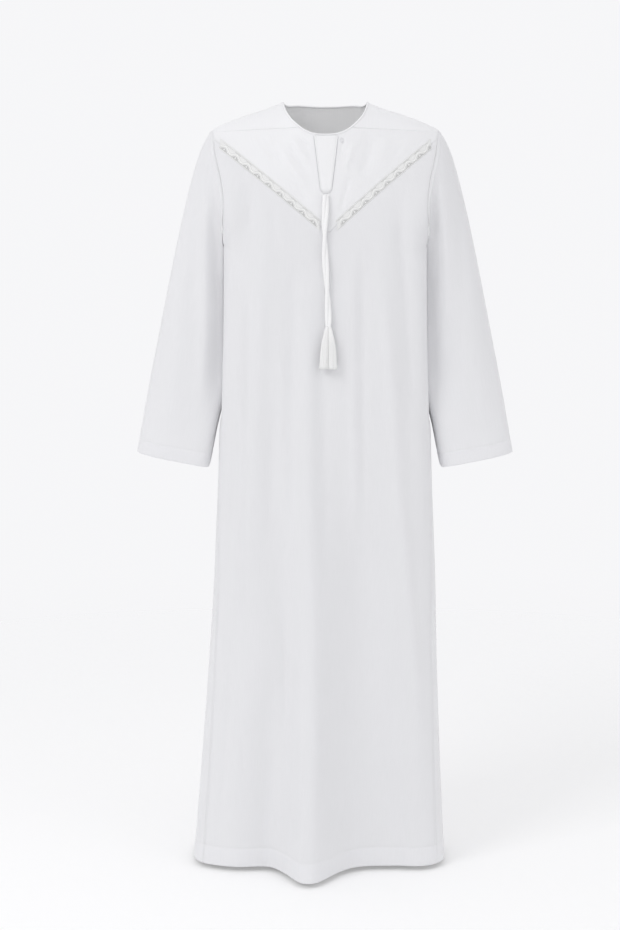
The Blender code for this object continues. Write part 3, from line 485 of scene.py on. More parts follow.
def fold_rise(x, y, z):
    """Height of the main folds and the fine creases over the plain surface."""
    rise = np.zeros(np.broadcast(x, y, z).shape)
    for row in FOLDS:
        fold = dict(zip(FOLD_COLUMNS, row))
        way = -1 if fold["side"] == "front" else 1
        down = np.clip((fold["top_z"] - z) / (fold["top_z"] - HEM_Z), 0, 1)
        centre = fold["top_x"] + (fold["hem_x"] - fold["top_x"]) * down
        width = fold["top_width"] + (fold["hem_width"] - fold["top_width"]) * down
        start = smoothstep((fold["top_z"] - z) / FOLD_FADE)
        power = np.where(x < centre, fold["right_power"], fold["left_power"])
        across = np.exp(-np.abs((x - centre) / width) ** power)
        facing = smoothstep(way * y / HALF_DEPTH * FACE_FULL)
        rise = rise + fold["rise"] * down ** fold["growth"] * start * across * facing
    for creases, way in FACE_CREASES:
        rise = rise + crease_rise(creases, x, z) * smoothstep(way * y / HALF_DEPTH * FACE_FULL)
    return rise


def place(x, y, z, half_width, squareness):
    """Lay the folds on the plain surface and swing the skirt to the side."""
    nx = np.sign(x) * np.abs(x / half_width) ** (squareness - 1) / half_width
    ny = np.sign(y) * np.abs(y / HALF_DEPTH) ** (squareness - 1) / HALF_DEPTH
    size = np.maximum(np.hypot(nx, ny), 1e-9)
    rise = fold_rise(x, y, z)
    return np.stack([x + nx / size * rise + read(SWING, z), y + ny / size * rise, z], axis=-1)


def round_shoulder(x, z):
    """Share of the full depth at a height: 0 on the shoulder ridge, 1 from the chest down."""
    share = (z - CHEST_Z) / (shoulder_z(x) - CHEST_Z)
    return np.sqrt(1 - np.clip(share, 0, 1) ** 2)


def flank_hollow(y, z):
    """How far the side of the body gives way, inwards, under the arm."""
    (top, fill), (bottom, fade) = FLANK_TOP, FLANK_END
    beside_arm = smoothstep((top - z) / fill) * smoothstep((z - bottom) / fade)
    full, end = FLANK_REACH
    return FLANK_HOLLOW * smoothstep((end - np.abs(y)) / (end - full)) * beside_arm


def flank_x(y, z):
    """x of the body's left side at the depth y."""
    share = np.clip(np.abs(y) / HALF_DEPTH, 0, 1)
    squareness = body_value("squareness", z)
    return body_value("half_width", z) * (1 - share ** squareness) ** (1 / squareness) - flank_hollow(y, z)


def body_point(turn, z):
    """Point of the body: turn is 0 at centre front, +-1 at the sides and +-2 at centre back."""
    turn, z = np.broadcast_arrays(np.asarray(turn, dtype=float), np.asarray(z, dtype=float))
    turn = (turn + 2) % 4 - 2
    behind = np.abs(turn) > 1
    quarter = np.where(behind, 2 - np.abs(turn), np.abs(turn))
    angle = np.interp(quarter, TURN_SHARE, TURN)
    half_width = body_value("half_width", z)
    squareness = body_value("squareness", z)
    radius = ((np.sin(angle) / half_width) ** squareness
              + (np.cos(angle) / HALF_DEPTH) ** squareness) ** (-1 / squareness)
    x = np.sign(turn) * radius * np.sin(angle)
    y = np.where(behind, 1, -1) * radius * np.cos(angle) * round_shoulder(x, z)
    points = place(x, y, z, half_width, squareness)
    start, full = FLANK_INSET
    beside = smoothstep((np.abs(x) / half_width - start) / (full - start))
    points[..., 0] -= np.sign(x) * flank_hollow(y, z) * beside
    return points


def turn_of(x, z):
    """The turn at which the front or back surface reaches x at height z."""
    half_width = body_value("half_width", z)
    squareness = body_value("squareness", z)
    share = np.clip(np.abs(x) / half_width, 0, 1)
    depth = HALF_DEPTH * (1 - share ** squareness) ** (1 / squareness)
    return np.sign(x) * np.interp(np.arctan2(np.abs(x), depth), TURN, TURN_SHARE)


def turn_of_depth(y, z):
    """The turn at which the side surface reaches the depth y, forward of the side line."""
    half_width = body_value("half_width", z)
    squareness = body_value("squareness", z)
    x = half_width * (1 - (y / HALF_DEPTH) ** squareness) ** (1 / squareness)
    return np.interp(np.arctan2(x, y), TURN, TURN_SHARE)


def shoulder_point(x, y):
    """Point over the shoulders, straight above (x, y)."""
    _, width, power = BODY[0]
    depth = HALF_DEPTH * (1 - np.abs(x / width) ** power) ** (1 / power)
    z = CHEST_Z + (shoulder_z(x) - CHEST_Z) * np.sqrt(1 - np.clip(y / depth, -1, 1) ** 2)
    return np.stack([x + 0 * z, y + 0 * z, z], axis=-1)


def panel_edge(z):
    """Turn of the front panel's side edge: the armhole above the armpit, the gore seam below."""
    armhole = turn_of(armhole_x(z), z)
    return np.where(z > ARMPIT_Z + 1e-6, armhole, turn_of_depth(read(GORE, z), z))


def body_normal(turn, z):
    """Outward normal of the folded body surface."""
    across = body_point(turn + NORMAL_STEP, z) - body_point(turn - NORMAL_STEP, z)
    down = body_point(turn, z - NORMAL_STEP) - body_point(turn, z + NORMAL_STEP)
    return unit(np.cross(down, across))


def shoulder_normal(x, y):
    along_x = shoulder_point(x + NORMAL_STEP, y) - shoulder_point(x - NORMAL_STEP, y)
    along_y = shoulder_point(x, y + NORMAL_STEP) - shoulder_point(x, y - NORMAL_STEP)
    return unit(np.cross(along_x, along_y))


# ---------------------------------------------------------------- seam lines


def neck_curve(angle):
    """Plan of the neckline: angle 0 at centre front, a half turn at centre back."""
    power = 2 / NECK_SQUARENESS
    x = NECK_HALF_WIDTH * np.sign(np.sin(angle)) * np.abs(np.sin(angle)) ** power
    reach = np.where(np.cos(angle) > 0, NECK_FRONT_Y, NECK_BACK_Y)
    return x, reach * np.abs(np.cos(angle)) ** power


NECK_QUARTER = np.linspace(0, np.pi / 2, 361)
NECK_RISE = shoulder_point(*neck_curve(NECK_QUARTER))[:, 2]
NECK_CORNER_ANGLE = float(np.interp(FRONT_SEAM_NECK_Z, NECK_RISE, NECK_QUARTER))
NECK_CORNER_X = float(neck_curve(NECK_CORNER_ANGLE)[0])


def front_seam(share):
    """x and z along the wearer's left forward shoulder seam, from the neck to the armhole."""
    x = NECK_CORNER_X + (armhole_x(FRONT_SEAM_ARM_Z) - NECK_CORNER_X) * share
    z = FRONT_SEAM_NECK_Z + (FRONT_SEAM_ARM_Z - FRONT_SEAM_NECK_Z) * share
    return x, z


def v_seam_z(x):
    """Height of the V seam, with a slight upward bow on each arm."""
    reach = np.where(x > V_APEX[0], armhole_x(V_END_Z) - V_APEX[0], armhole_x(V_END_Z) + V_APEX[0])
    share = np.clip(np.abs(x - V_APEX[0]) / reach, 0, 1)
    return V_APEX[1] + (V_END_Z - V_APEX[1]) * share + V_BOW * 4 * share * (1 - share)


# ---------------------------------------------------------------- materials


class Nodes:
    """Short way to wire a material's node tree."""

    def __init__(self, tree):
        self.tree = tree

    def add(self, kind, inputs=None, **settings):
        node = self.tree.nodes.new(kind)
        for name, value in settings.items():
            setattr(node, name, value)
        for name, value in (inputs or {}).items():
            socket = node.inputs[name]
            if isinstance(value, bpy.types.NodeSocket):
                self.tree.links.new(value, socket)
            else:
                socket.default_value = value
        return node

    def math(self, operation, a, b=0.0):
        return self.add("ShaderNodeMath", {0: a, 1: b}, operation=operation).outputs[0]


def new_finish(name, **inputs):
    """A material, its nodes and its shader, whose plain inputs are given with _ for each space."""
    made = bpy.data.materials.new(name)
    made.use_nodes = True
    shader = next(n for n in made.node_tree.nodes if n.type == "BSDF_PRINCIPLED")
    for label, value in inputs.items():
        shader.inputs[label.replace("_", " ")].default_value = value
    return made, Nodes(made.node_tree), shader


def colour_ramp(nodes, value, *stops):
    """The colour for a value, between two stops of (value, colour)."""
    ramp = nodes.add("ShaderNodeValToRGB", {"Fac": value})
    for k, (position, colour) in enumerate(stops):
        ramp.color_ramp.elements[k].position = position
        ramp.color_ramp.elements[k].color = (*colour, 1.0)
    return ramp.outputs["Color"]


def cloth_material(name, colour, roughness, pitch, weave_depth, wrinkle, glow=0.0):
    """Fine woven cloth: a twill seen in its bump, uneven yarns, and soft wrinkles.

    pitch is the distance between two twill lines, on a UV map in metres.  glow is painted light: an even
    glow of the cloth itself, which stands for the light that comes through from the far side.
    """
    made, nodes, shader = new_finish(
        name, Metallic=0.0, Sheen_Weight=0.25, Sheen_Roughness=0.45, Subsurface_Weight=LIGHT_THROUGH,
        Subsurface_Radius=(1.0, 1.0, 1.0), Subsurface_Scale=LIGHT_SPREAD, Specular_IOR_Level=0.35,
        Emission_Color=(1.0, 1.0, 1.0, 1.0), Emission_Strength=glow)
    flat = nodes.add("ShaderNodeUVMap", uv_map="cloth").outputs["UV"]
    solid = nodes.add("ShaderNodeTexCoord").outputs["Object"]

    parts = nodes.add("ShaderNodeSeparateXYZ", {"Vector": flat}).outputs
    turns = 2 * math.pi / pitch
    slant = nodes.math("ADD", parts["X"], nodes.math("MULTIPLY", parts["Y"], 0.6))
    twill = nodes.math("SINE", nodes.math("MULTIPLY", slant, turns))
    picks = nodes.math("SINE", nodes.math("MULTIPLY", parts["Y"], turns * 1.7))
    weave = nodes.math("ADD", twill, nodes.math("MULTIPLY", picks, 0.45))

    stretch = nodes.add("ShaderNodeMapping", {"Vector": flat, "Scale": (900.0, 26.0, 1.0)}).outputs[0]
    yarns = nodes.add("ShaderNodeTexNoise", {"Vector": stretch, "Scale": 1.0, "Detail": 3.0}).outputs[0]
    broad = nodes.add("ShaderNodeMapping", {"Vector": solid, "Scale": (1.0, 1.0, 0.32)}).outputs[0]
    clouds = nodes.add("ShaderNodeTexNoise", {"Vector": broad, "Scale": 9.0, "Detail": 4.0}).outputs[0]
    creased = nodes.add("ShaderNodeTexNoise", {"Vector": broad, "Scale": 34.0, "Detail": 5.0,
                                               "Roughness": 0.45}).outputs[0]

    mixed = nodes.math("ADD", nodes.math("MULTIPLY", yarns, 0.55), nodes.math("MULTIPLY", clouds, 0.45))
    thin = [c * THIN_YARN for c in colour]
    full = [min(1.0, c * FULL_YARN) for c in colour]
    shade = colour_ramp(nodes, mixed, (0.25, thin), (0.75, full))
    made.node_tree.links.new(shade, shader.inputs["Base Color"])
    rough = nodes.add("ShaderNodeMapRange", {"Value": yarns, "From Min": 0.2, "From Max": 0.8,
                                             "To Min": roughness - 0.06, "To Max": roughness + 0.07})
    made.node_tree.links.new(rough.outputs[0], shader.inputs["Roughness"])

    fine = nodes.add("ShaderNodeBump", {"Height": weave, "Distance": weave_depth, "Strength": 0.55})
    soft = nodes.add("ShaderNodeBump", {"Height": creased, "Distance": wrinkle, "Strength": 0.6,
                                        "Normal": fine.outputs[0]})
    made.node_tree.links.new(soft.outputs[0], shader.inputs["Normal"])
    return made


def thread_material(name, colour, roughness, pitch, twist):
    """Silky thread or cord: slanting plies in its bump, painted shade that darkens the grooves between them,
    and a grain of random tone.
    """
    made, nodes, shader = new_finish(name, Sheen_Weight=0.3, Sheen_Roughness=0.35, Specular_IOR_Level=0.45,
                                     Roughness=roughness)
    solid = nodes.add("ShaderNodeTexCoord").outputs["Object"]
    parts = nodes.add("ShaderNodeSeparateXYZ", {"Vector": solid}).outputs
    slant = nodes.math("ADD", parts["Z"], nodes.math("MULTIPLY", parts["X"], twist))
    ply = nodes.math("SINE", nodes.math("MULTIPLY", slant, 2 * math.pi / pitch))
    grain = nodes.add("ShaderNodeTexNoise", {"Vector": solid, "Scale": 420.0, "Detail": 3.0}).outputs[0]
    height = nodes.math("ADD", nodes.math("MULTIPLY", ply, 0.5), grain)
    # Darker where the plies sink: painted shade in their grooves.
    shade = colour_ramp(nodes, height, (0.0, [c * 0.90 for c in colour]), (0.9, colour))
    made.node_tree.links.new(shade, shader.inputs["Base Color"])
    bump = nodes.add("ShaderNodeBump", {"Height": height, "Distance": pitch * 0.12, "Strength": 0.5})
    made.node_tree.links.new(bump.outputs[0], shader.inputs["Normal"])
    return made


def net_material(name, colour, hole, cell):
    """Ground of the bands: a close net whose holes are painted grey as shade, on a UV map in metres."""
    made, nodes, shader = new_finish(name, Sheen_Weight=0.15, Roughness=0.7)
    flat = nodes.add("ShaderNodeUVMap", uv_map="cloth").outputs["UV"]
    parts = nodes.add("ShaderNodeSeparateXYZ", {"Vector": flat}).outputs
    turns = math.pi / cell
    one = nodes.math("SINE", nodes.math("MULTIPLY", nodes.math("ADD", parts["X"], parts["Y"]), turns))
    two = nodes.math("SINE", nodes.math("MULTIPLY", nodes.math("SUBTRACT", parts["X"], parts["Y"]), turns))
    threads = nodes.math("MULTIPLY", nodes.math("ABSOLUTE", one), nodes.math("ABSOLUTE", two))
    # The sunk holes take the grey hole colour: painted shade.
    shade = colour_ramp(nodes, threads, (0.18, colour), (0.55, hole))
    made.node_tree.links.new(shade, shader.inputs["Base Color"])
    sunk = nodes.math("SUBTRACT", 1.0, threads)
    bump = nodes.add("ShaderNodeBump", {"Height": sunk, "Distance": 0.0003, "Strength": 0.7})
    made.node_tree.links.new(bump.outputs[0], shader.inputs["Normal"])
    return made


LIGHT_THROUGH = 0.28          # share of the light that enters the cloth
LIGHT_SPREAD = 0.0035         # and how far it spreads there
THIN_YARN = 0.955             # share of a cloth's colour in its thinnest and its fullest yarns
FULL_YARN = 1.012
WHITE = (0.822, 0.822, 0.838)
# Lighter than the body's white: painted light, for the yoke over the shoulders and upper chest lit from
# above.
YOKE_PAINTED_LIGHT_WHITE = (0.876, 0.876, 0.890)
body_finish = cloth_material("body_cloth", WHITE, 0.62, 0.0011, 0.00010, 0.0009)
sleeve_finish = cloth_material("sleeve_cloth", WHITE, 0.62, 0.0011, 0.00010, 0.0009)
yoke_finish = cloth_material("yoke_cloth", YOKE_PAINTED_LIGHT_WHITE, 0.60, 0.0011, 0.00008, 0.0005)
# The inner faces: a lighter white than the outside and a faint glow, both painted light that stands for light
# coming through the thin cloth.
inner_face_painted_light_finish = cloth_material("inner_face_cloth_painted_light", (0.950, 0.950, 0.955), 0.65, 0.0011, 0.00010,
                                   0.0007, glow=0.05)
binding_finish = cloth_material("binding_satin", (0.87, 0.87, 0.88), 0.45, 0.0008, 0.00005, 0.0002)
placket_finish = cloth_material("placket_cloth", (0.910, 0.910, 0.920), 0.60, 0.0010, 0.00008, 0.0004)
band_finish = net_material("band_net", (0.90, 0.90, 0.89), (0.80, 0.80, 0.80), 0.0011)
# The openwork's dark grey is painted shade of the net ground under the vine.
openwork_painted_shade_finish = net_material("band_openwork_painted_shade", (0.72, 0.72, 0.71), (0.48, 0.48, 0.48), 0.0009)
embroidery_finish = thread_material("embroidery_thread", (0.92, 0.92, 0.91), 0.5, 0.0008, 0.7)
# Darker threads that stand for shade beside the raised vine and along the band: painted shade.
outline_painted_shade_finish = thread_material("outline_painted_shade_thread", (0.66, 0.66, 0.65), 0.6, 0.0008, 0.7)
# Darker thread along the placket's edges: painted shade.
placket_shade_line_finish = thread_material("placket_shade_line_thread", (0.70, 0.70, 0.72), 0.6, 0.0008, 0.5)
sewing_finish = thread_material("sewing_thread", (0.80, 0.80, 0.82), 0.55, 0.0006, 0.5)
cord_finish = thread_material("cord_silk", (0.93, 0.93, 0.93), 0.5, 0.0016, 0.8)
tassel_finish = thread_material("tassel_silk", (0.94, 0.94, 0.935), 0.5, 0.0014, 0.6)

# ---------------------------------------------------------------- meshes


def new_piece(name, mesh):
    piece = bpy.data.objects.new(name, mesh)
    bpy.context.scene.collection.objects.link(piece)
    return piece


def padded_rim(outer, inner, axis, roll):
    """Add a line of points half way through the wall at both ends of an axis: a rolled edge."""
    outer, inner = np.moveaxis(outer, axis, 0), np.moveaxis(inner, axis, 0)
    middle = (outer + inner) / 2
    half = np.linalg.norm(outer - inner, axis=-1, keepdims=True) / 2
    first = middle[:1] + unit(middle[:1] - middle[1:2]) * half[:1] * roll[0]
    last = middle[-1:] + unit(middle[-1:] - middle[-2:-1]) * half[-1:] * roll[1]
    grids = [np.concatenate((first, grid, last)) for grid in (outer, inner)]
    return [np.moveaxis(grid, 0, axis) for grid in grids]


def shell(name, outer, inner, across, down, finish, wrong_side=None, around=False, free=True):
    """A closed wall of cloth between two grids of points, with rolled edges and a UV map in metres.

    Rows run down and columns run round.  across and down give each point's place on the flat cloth.
    around joins the last column to the first; then across has one more column than the grids.
    free rolls the last row's edge, as at a hem; the others meet a neighbour.  wrong_side is the
    finish of the inner face, where it differs.
    """
    rows, columns = outer.shape[:2]
    across = np.pad(np.broadcast_to(across, (rows, columns + around)), ((1, 1), (0, 0)), mode="edge")
    down = np.pad(np.broadcast_to(down, (rows, columns + around)), ((1, 1), (0, 0)), mode="edge")
    outer, inner = padded_rim(outer, inner, 0, ROLL if free else ROLL[:1] * 2)
    if not around:
        outer, inner = padded_rim(outer, inner, 1, ROLL[:1] * 2)
        across = np.pad(across, ((0, 0), (1, 1)), mode="edge")
        down = np.pad(down, ((0, 0), (1, 1)), mode="edge")
    face = np.arange(outer.shape[0] * outer.shape[1]).reshape(outer.shape[:2])
    back = face.copy()
    inside = (slice(1, -1), slice(None)) if around else (slice(1, -1), slice(1, -1))
    back[inside] = face.size + np.arange(back[inside].size).reshape(back[inside].shape)
    points = np.concatenate((outer.reshape(-1, 3), inner[inside].reshape(-1, 3)))
    if around:
        face = np.concatenate((face, face[:, :1]), axis=1)
        back = np.concatenate((back, back[:, :1]), axis=1)
    flat = np.stack([across, down], axis=-1)

    def corners(grid, order):
        cells = [grid[:-1, :-1], grid[1:, :-1], grid[1:, 1:], grid[:-1, 1:]]
        return np.stack([cells[k] for k in order], axis=2)

    outward, inward = (0, 1, 2, 3), (0, 3, 2, 1)
    faces = np.concatenate([corners(face, outward).reshape(-1, 4), corners(back, inward).reshape(-1, 4)])
    uvs = np.concatenate([corners(flat, outward).reshape(-1, 2), corners(flat, inward).reshape(-1, 2)])
    mesh = bpy.data.meshes.new(name)
    mesh.from_pydata(points.tolist(), [], faces.tolist())
    mesh.uv_layers.new(name="cloth").data.foreach_set("uv", uvs.ravel())
    mesh.materials.append(finish)
    if wrong_side is not None:
        mesh.materials.append(wrong_side)
        mesh.polygons.foreach_set("material_index", np.arange(len(faces)) >= len(faces) // 2)
    mesh.shade_smooth()
    return new_piece(name, mesh)


def steps(length, step, fine_end=True):
    """Places from 0 to length, about a step apart and closer together at the seams."""
    start = np.array([0.0, 0.0012, 0.0026, 0.0044, 0.0070])
    end = length - start[::-1] if fine_end else np.array([length])
    between = np.linspace(start[-1], end[0], max(2, int(round((end[0] - start[-1]) / step)) + 1))
    return np.concatenate((start[:-1], between, end[1:]))


def grid_lengths(points, axis):
    """Distance along a grid's lines from their start."""
    step = np.linalg.norm(np.diff(points, axis=axis), axis=-1)
    start = np.zeros_like(np.take(step, [0], axis=axis))
    return np.concatenate((start, np.cumsum(step, axis=axis)), axis=axis)


def sunk_seams(points, normal, top=1, bottom=0, sides=1):
    """Lower a panel's surface beside its seams, as stitched cloth does, each by a share from 0 to 1."""
    drop = np.zeros(points.shape[:2])
    run, fall = grid_lengths(points, 1), grid_lengths(points, 0)
    seams = ((sides, run), (sides, run[:, -1:] - run), (top, fall), (bottom, fall[-1:] - fall))
    for wanted, distance in seams:
        drop = np.maximum(drop, wanted * np.exp(-(distance / SEAM_SOFT) ** 2))
    return points - normal * (drop * SEAM_DROP)[..., None]


def hem_relief(height, normal):
    """How the turned-up edge shows: a fine groove at its stitching, fuller cloth below it."""
    (rise, at_top, at_edge), (depth, half) = HEM_RELIEF, HEM_GROOVE
    groove = np.exp(-((height - HEM_DEPTH) / half) ** 2)
    full = smoothstep((HEM_DEPTH - height) / at_top) * smoothstep(height / at_edge)
    return normal * (full * rise - groove * depth)[..., None]


def hem_wall(height):
    """Thickness of the cloth at a height over its edge: doubled where the hem is turned up."""
    return CLOTH + (HEM_CLOTH - CLOTH) * smoothstep((HEM_DEPTH - height) / HEM_ROLL)


# Rows of cloth below the common level, closer together at the hem's stitches.
LOWER_HEIGHTS = np.concatenate((
    np.arange(COMMON_Z - HEM_Z, HEM_DEPTH + 0.006, -0.0062)[1:] - HEM_DEPTH,
    [0.0044, 0.0028, 0.0014, 0.0, -0.0014, -0.0028, -0.0050, -0.0100, -0.0170, -0.0250, -0.0330, -0.0360],
    [-HEM_DEPTH],
)) + HEM_DEPTH
LOWER_LEVELS = HEM_Z + LOWER_HEIGHTS


def body_panel(name, turn, z, finish, hem=False, top=1, bottom=0):
    """A panel of the body's surface as a piece of cloth."""
    points = body_point(turn, z)
    normal = body_normal(turn, z)
    outer = sunk_seams(points, normal, top=top, bottom=bottom)
    wall = np.full(z.shape, CLOTH)
    if hem:
        height = z - HEM_Z
        wall = hem_wall(height)
        outer = outer + hem_relief(height, normal)
    inner = points - normal * wall[..., None]
    run, fall = grid_lengths(points, 1), grid_lengths(points, 0)
    middle = points.shape[1] // 2
    return shell(name, outer, inner, run - run[:, middle:middle + 1], fall - fall[-1:], finish,
                 inner_face_painted_light_finish, free=hem)


def upper_rows(edge_z, step):
    """Shares of the way from a panel's top to the common level, closer together at the armpit."""
    beside = ARMPIT_Z - np.arange(-5, 11) * ARMPIT_STEP
    above = steps(edge_z - beside[0] - ARMPIT_STEP, step, fine_end=False)
    count = max(3, int((beside[-1] - COMMON_Z) / step))
    below = np.linspace(beside[-1], COMMON_Z, count + 1)[1:]
    return np.concatenate((above, edge_z - beside, edge_z - below)) / (edge_z - COMMON_Z)


def columns(share, level, top_edge):
    """Turns of a panel's columns, which stay upright beside the armhole's curve.

    share is each column's place from -1 to 1, level each row's height at the panel's sides.
    """
    edge = panel_edge(level)
    common = float(panel_edge(np.array(COMMON_Z)))
    calm = top_edge + (common - top_edge) * (level[0] - level) / (level[0] - COMMON_Z)
    calm = np.where(level < COMMON_Z, edge, calm)
    aside = np.sign(share) * smoothstep((np.abs(share) - 0.55) / 0.45)
    return share * calm[:, None] + aside * (edge - calm)[:, None]


def trimmed(turn, gap=SEAM_GAP / 2):
    """Pull the outer columns back from a seam that runs along the panel's sides."""
    turn = turn.copy()
    turn[:, 0] += gap / QUARTER_ARC
    turn[:, -1] -= gap / QUARTER_ARC
    return turn


# ---------------------------------------------------------------- repeated forms, in nodes


class Tree:
    """Short way to build a geometry node tree with named inputs."""

    SOCKETS = {"Finish": "NodeSocketMaterial"}

    def __init__(self, name, inputs):
        self.tree = bpy.data.node_groups.new(name, "GeometryNodeTree")
        face = self.tree.interface
        face.new_socket("Geometry", in_out="INPUT", socket_type="NodeSocketGeometry")
        for label, size in inputs.items():
            socket = face.new_socket(label, in_out="INPUT",
                                     socket_type=self.SOCKETS.get(label, "NodeSocketFloat"))
            if size is not None:
                socket.default_value = size
        face.new_socket("Geometry", in_out="OUTPUT", socket_type="NodeSocketGeometry")
        self.source = self.add("NodeGroupInput")
        self.end = self.add("NodeGroupOutput")

    def add(self, kind, inputs=None, **settings):
        return Nodes(self.tree).add(kind, inputs, **settings)

    def given(self, name):
        return self.source.outputs[name]

    def finish(self, geometry):
        """End the tree: realise instances, smooth them and give them their finish."""
        real = self.add("GeometryNodeRealizeInstances", {"Geometry": geometry})
        smooth = self.add("GeometryNodeSetShadeSmooth", {"Geometry": real.outputs[0]})
        dressed = self.add("GeometryNodeSetMaterial", {"Geometry": smooth.outputs[0],
                                                       "Material": self.given("Finish")})
        self.tree.links.new(dressed.outputs[0], self.end.inputs[0])
        return self.tree


def spindle(tree, length, radius, flat, sides, rings):
    """A small pointed bead along X, as one raised stitch."""
    line = tree.add("GeometryNodeCurvePrimitiveLine", {"Start": (-0.5, 0, 0), "End": (0.5, 0, 0)})
    line = tree.add("GeometryNodeResampleCurve", {"Curve": line.outputs[0], "Count": rings})
    share = tree.add("GeometryNodeSplineParameter").outputs["Factor"]
    turned = tree.add("ShaderNodeMath", {0: share, 1: math.pi * 0.92}, operation="MULTIPLY").outputs[0]
    shifted = tree.add("ShaderNodeMath", {0: turned, 1: math.pi * 0.04}, operation="ADD").outputs[0]
    bulge = tree.add("ShaderNodeMath", {0: shifted}, operation="SINE").outputs[0]
    line = tree.add("GeometryNodeSetCurveRadius", {"Curve": line.outputs[0], "Radius": bulge})
    ring = tree.add("GeometryNodeCurvePrimitiveCircle", {"Resolution": sides, "Radius": 1.0})
    bead = tree.add("GeometryNodeCurveToMesh", {"Curve": line.outputs[0], "Profile Curve": ring.outputs[0],
                                                "Scale": bulge, "Fill Caps": True})
    height = tree.add("ShaderNodeMath", {0: radius, 1: flat}, operation="MULTIPLY").outputs[0]
    size = tree.add("ShaderNodeCombineXYZ", {"X": length, "Y": radius, "Z": height})
    sized = tree.add("GeometryNodeTransform", {"Geometry": bead.outputs[0], "Scale": size.outputs[0]})
    return sized.outputs[0]


def stitch_tree():
    """Stitches at an even pitch along every line of the given mesh, standing on its 'up' vectors."""
    tree = Tree("stitches", {"Pitch": 0.0032, "Stitch length": 0.0021, "Thread radius": 0.0003,
                             "Finish": None})
    curve = tree.add("GeometryNodeMeshToCurve", {"Mesh": tree.given("Geometry")})
    spaced = tree.add("GeometryNodeResampleCurve", {"Curve": curve.outputs[0], "Length": tree.given("Pitch")},
                      mode="LENGTH")
    up = tree.add("GeometryNodeInputNamedAttribute", {"Name": "up"}, data_type="FLOAT_VECTOR")
    way = tree.add("GeometryNodeInputTangent")
    turn = tree.add("FunctionNodeAxesToRotation", {"Primary Axis": up.outputs[0],
                                                   "Secondary Axis": way.outputs[0]})
    bead = spindle(tree, tree.given("Stitch length"), tree.given("Thread radius"), 0.8, 6, 5)
    sown = tree.add("GeometryNodeInstanceOnPoints", {"Points": spaced.outputs[0], "Instance": bead,
                                                     "Rotation": turn.outputs[0]})
    return tree.finish(sown.outputs[0])


def leaf_tree():
    """One raised leaf on every point, lying along its 'way' and standing on its 'up' vectors."""
    tree = Tree("leaves", {"Leaf length": 0.008, "Leaf half width": 0.0016, "Finish": None})
    up = tree.add("GeometryNodeInputNamedAttribute", {"Name": "up"}, data_type="FLOAT_VECTOR")
    way = tree.add("GeometryNodeInputNamedAttribute", {"Name": "way"}, data_type="FLOAT_VECTOR")
    turn = tree.add("FunctionNodeAxesToRotation", {"Primary Axis": up.outputs[0],
                                                   "Secondary Axis": way.outputs[0]})
    bead = spindle(tree, tree.given("Leaf length"), tree.given("Leaf half width"), 0.42, 8, 8)
    sown = tree.add("GeometryNodeInstanceOnPoints", {"Points": tree.given("Geometry"), "Instance": bead,
                                                     "Rotation": turn.outputs[0]})
    return tree.finish(sown.outputs[0])


def corded_tree():
    """A round thread along every line of the given mesh."""
    tree = Tree("corded_line", {"Thread radius": 0.0004, "Finish": None})
    curve = tree.add("GeometryNodeMeshToCurve", {"Mesh": tree.given("Geometry")})
    radius = tree.given("Thread radius")
    ring = tree.add("GeometryNodeCurvePrimitiveCircle", {"Resolution": 6, "Radius": radius})
    tube = tree.add("GeometryNodeCurveToMesh", {"Curve": curve.outputs[0], "Profile Curve": ring.outputs[0],
                                                "Fill Caps": True})
    return tree.finish(tube.outputs[0])


STITCHES = stitch_tree()
LEAVES = leaf_tree()
CORDED_LINE = corded_tree()


def grown(name, tree, points, edges, inputs, **vectors):
    """Run a tree on points and edges that carry vectors, and keep the plain mesh it makes."""
    mesh = bpy.data.meshes.new(name + "_guide")
    mesh.from_pydata(points.tolist(), edges, [])
    for label, values in vectors.items():
        mesh.attributes.new(label, "FLOAT_VECTOR", "POINT").data.foreach_set("vector", values.ravel())
    guide = new_piece(name + "_guide", mesh)
    modifier = guide.modifiers.new("grow", "NODES")
    modifier.node_group = tree
    sockets = {item.name: item.identifier for item in tree.interface.items_tree if item.in_out == "INPUT"}
    for label, value in inputs.items():
        modifier[sockets[label]] = value
    evaluated = guide.evaluated_get(bpy.context.evaluated_depsgraph_get())
    plain = bpy.data.meshes.new_from_object(evaluated)
    plain.name = name
    bpy.data.objects.remove(guide)
    bpy.data.meshes.remove(mesh)
    return new_piece(name, plain)


def sewn(name, runs, pitch=0.0032, length=0.0021, radius=0.00030):
    """A line of stitches along each run of (points, normals)."""
    points = np.concatenate([run[0] for run in runs])
    normals = np.concatenate([run[1] for run in runs])
    edges, first = [], 0
    for run, _ in runs:
        edges += [(first + k, first + k + 1) for k in range(len(run) - 1)]
        first += len(run)
    sizes = {"Pitch": pitch, "Stitch length": length, "Thread radius": radius, "Finish": sewing_finish}
    return grown(name, STITCHES, points, edges, sizes, up=normals)


def surface_run(turn, z, lift):
    """Points and normals of a line on the body, a little above the cloth."""
    points = body_point(turn, z)
    normals = body_normal(turn, z)
    return points + normals * lift, normals


def finished(piece, slot, *nodes, body="root"):
    """Say what a piece stands for: the body that it rides and the solids it replaces.  slot is not used."""
    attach(piece, body)
    if nodes:
        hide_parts(*nodes)
    return piece


# ---------------------------------------------------------------- camera, lights and floor


def make_camera():
    data = bpy.data.cameras.new("camera")
    data.sensor_width = SENSOR
    data.lens = LENS
    camera = bpy.data.objects.new("camera", data)
    camera.location = CAMERA_AT
    camera.rotation_euler = (math.radians(90 - CAMERA_DOWN), 0, 0)
    bpy.context.scene.collection.objects.link(camera)
    bpy.context.scene.camera = camera


def make_light(name, place_at, size, power):
    data = bpy.data.lights.new(name, "AREA")
    data.size = size
    data.energy = power
    light = bpy.data.objects.new(name, data)
    away = np.array(place_at) - np.array(LIGHT_AIM)
    light.location = place_at
    light.rotation_euler = (math.atan2(math.hypot(away[0], away[1]), away[2]), 0,
                            math.atan2(away[0], -away[1]))
    bpy.context.scene.collection.objects.link(light)


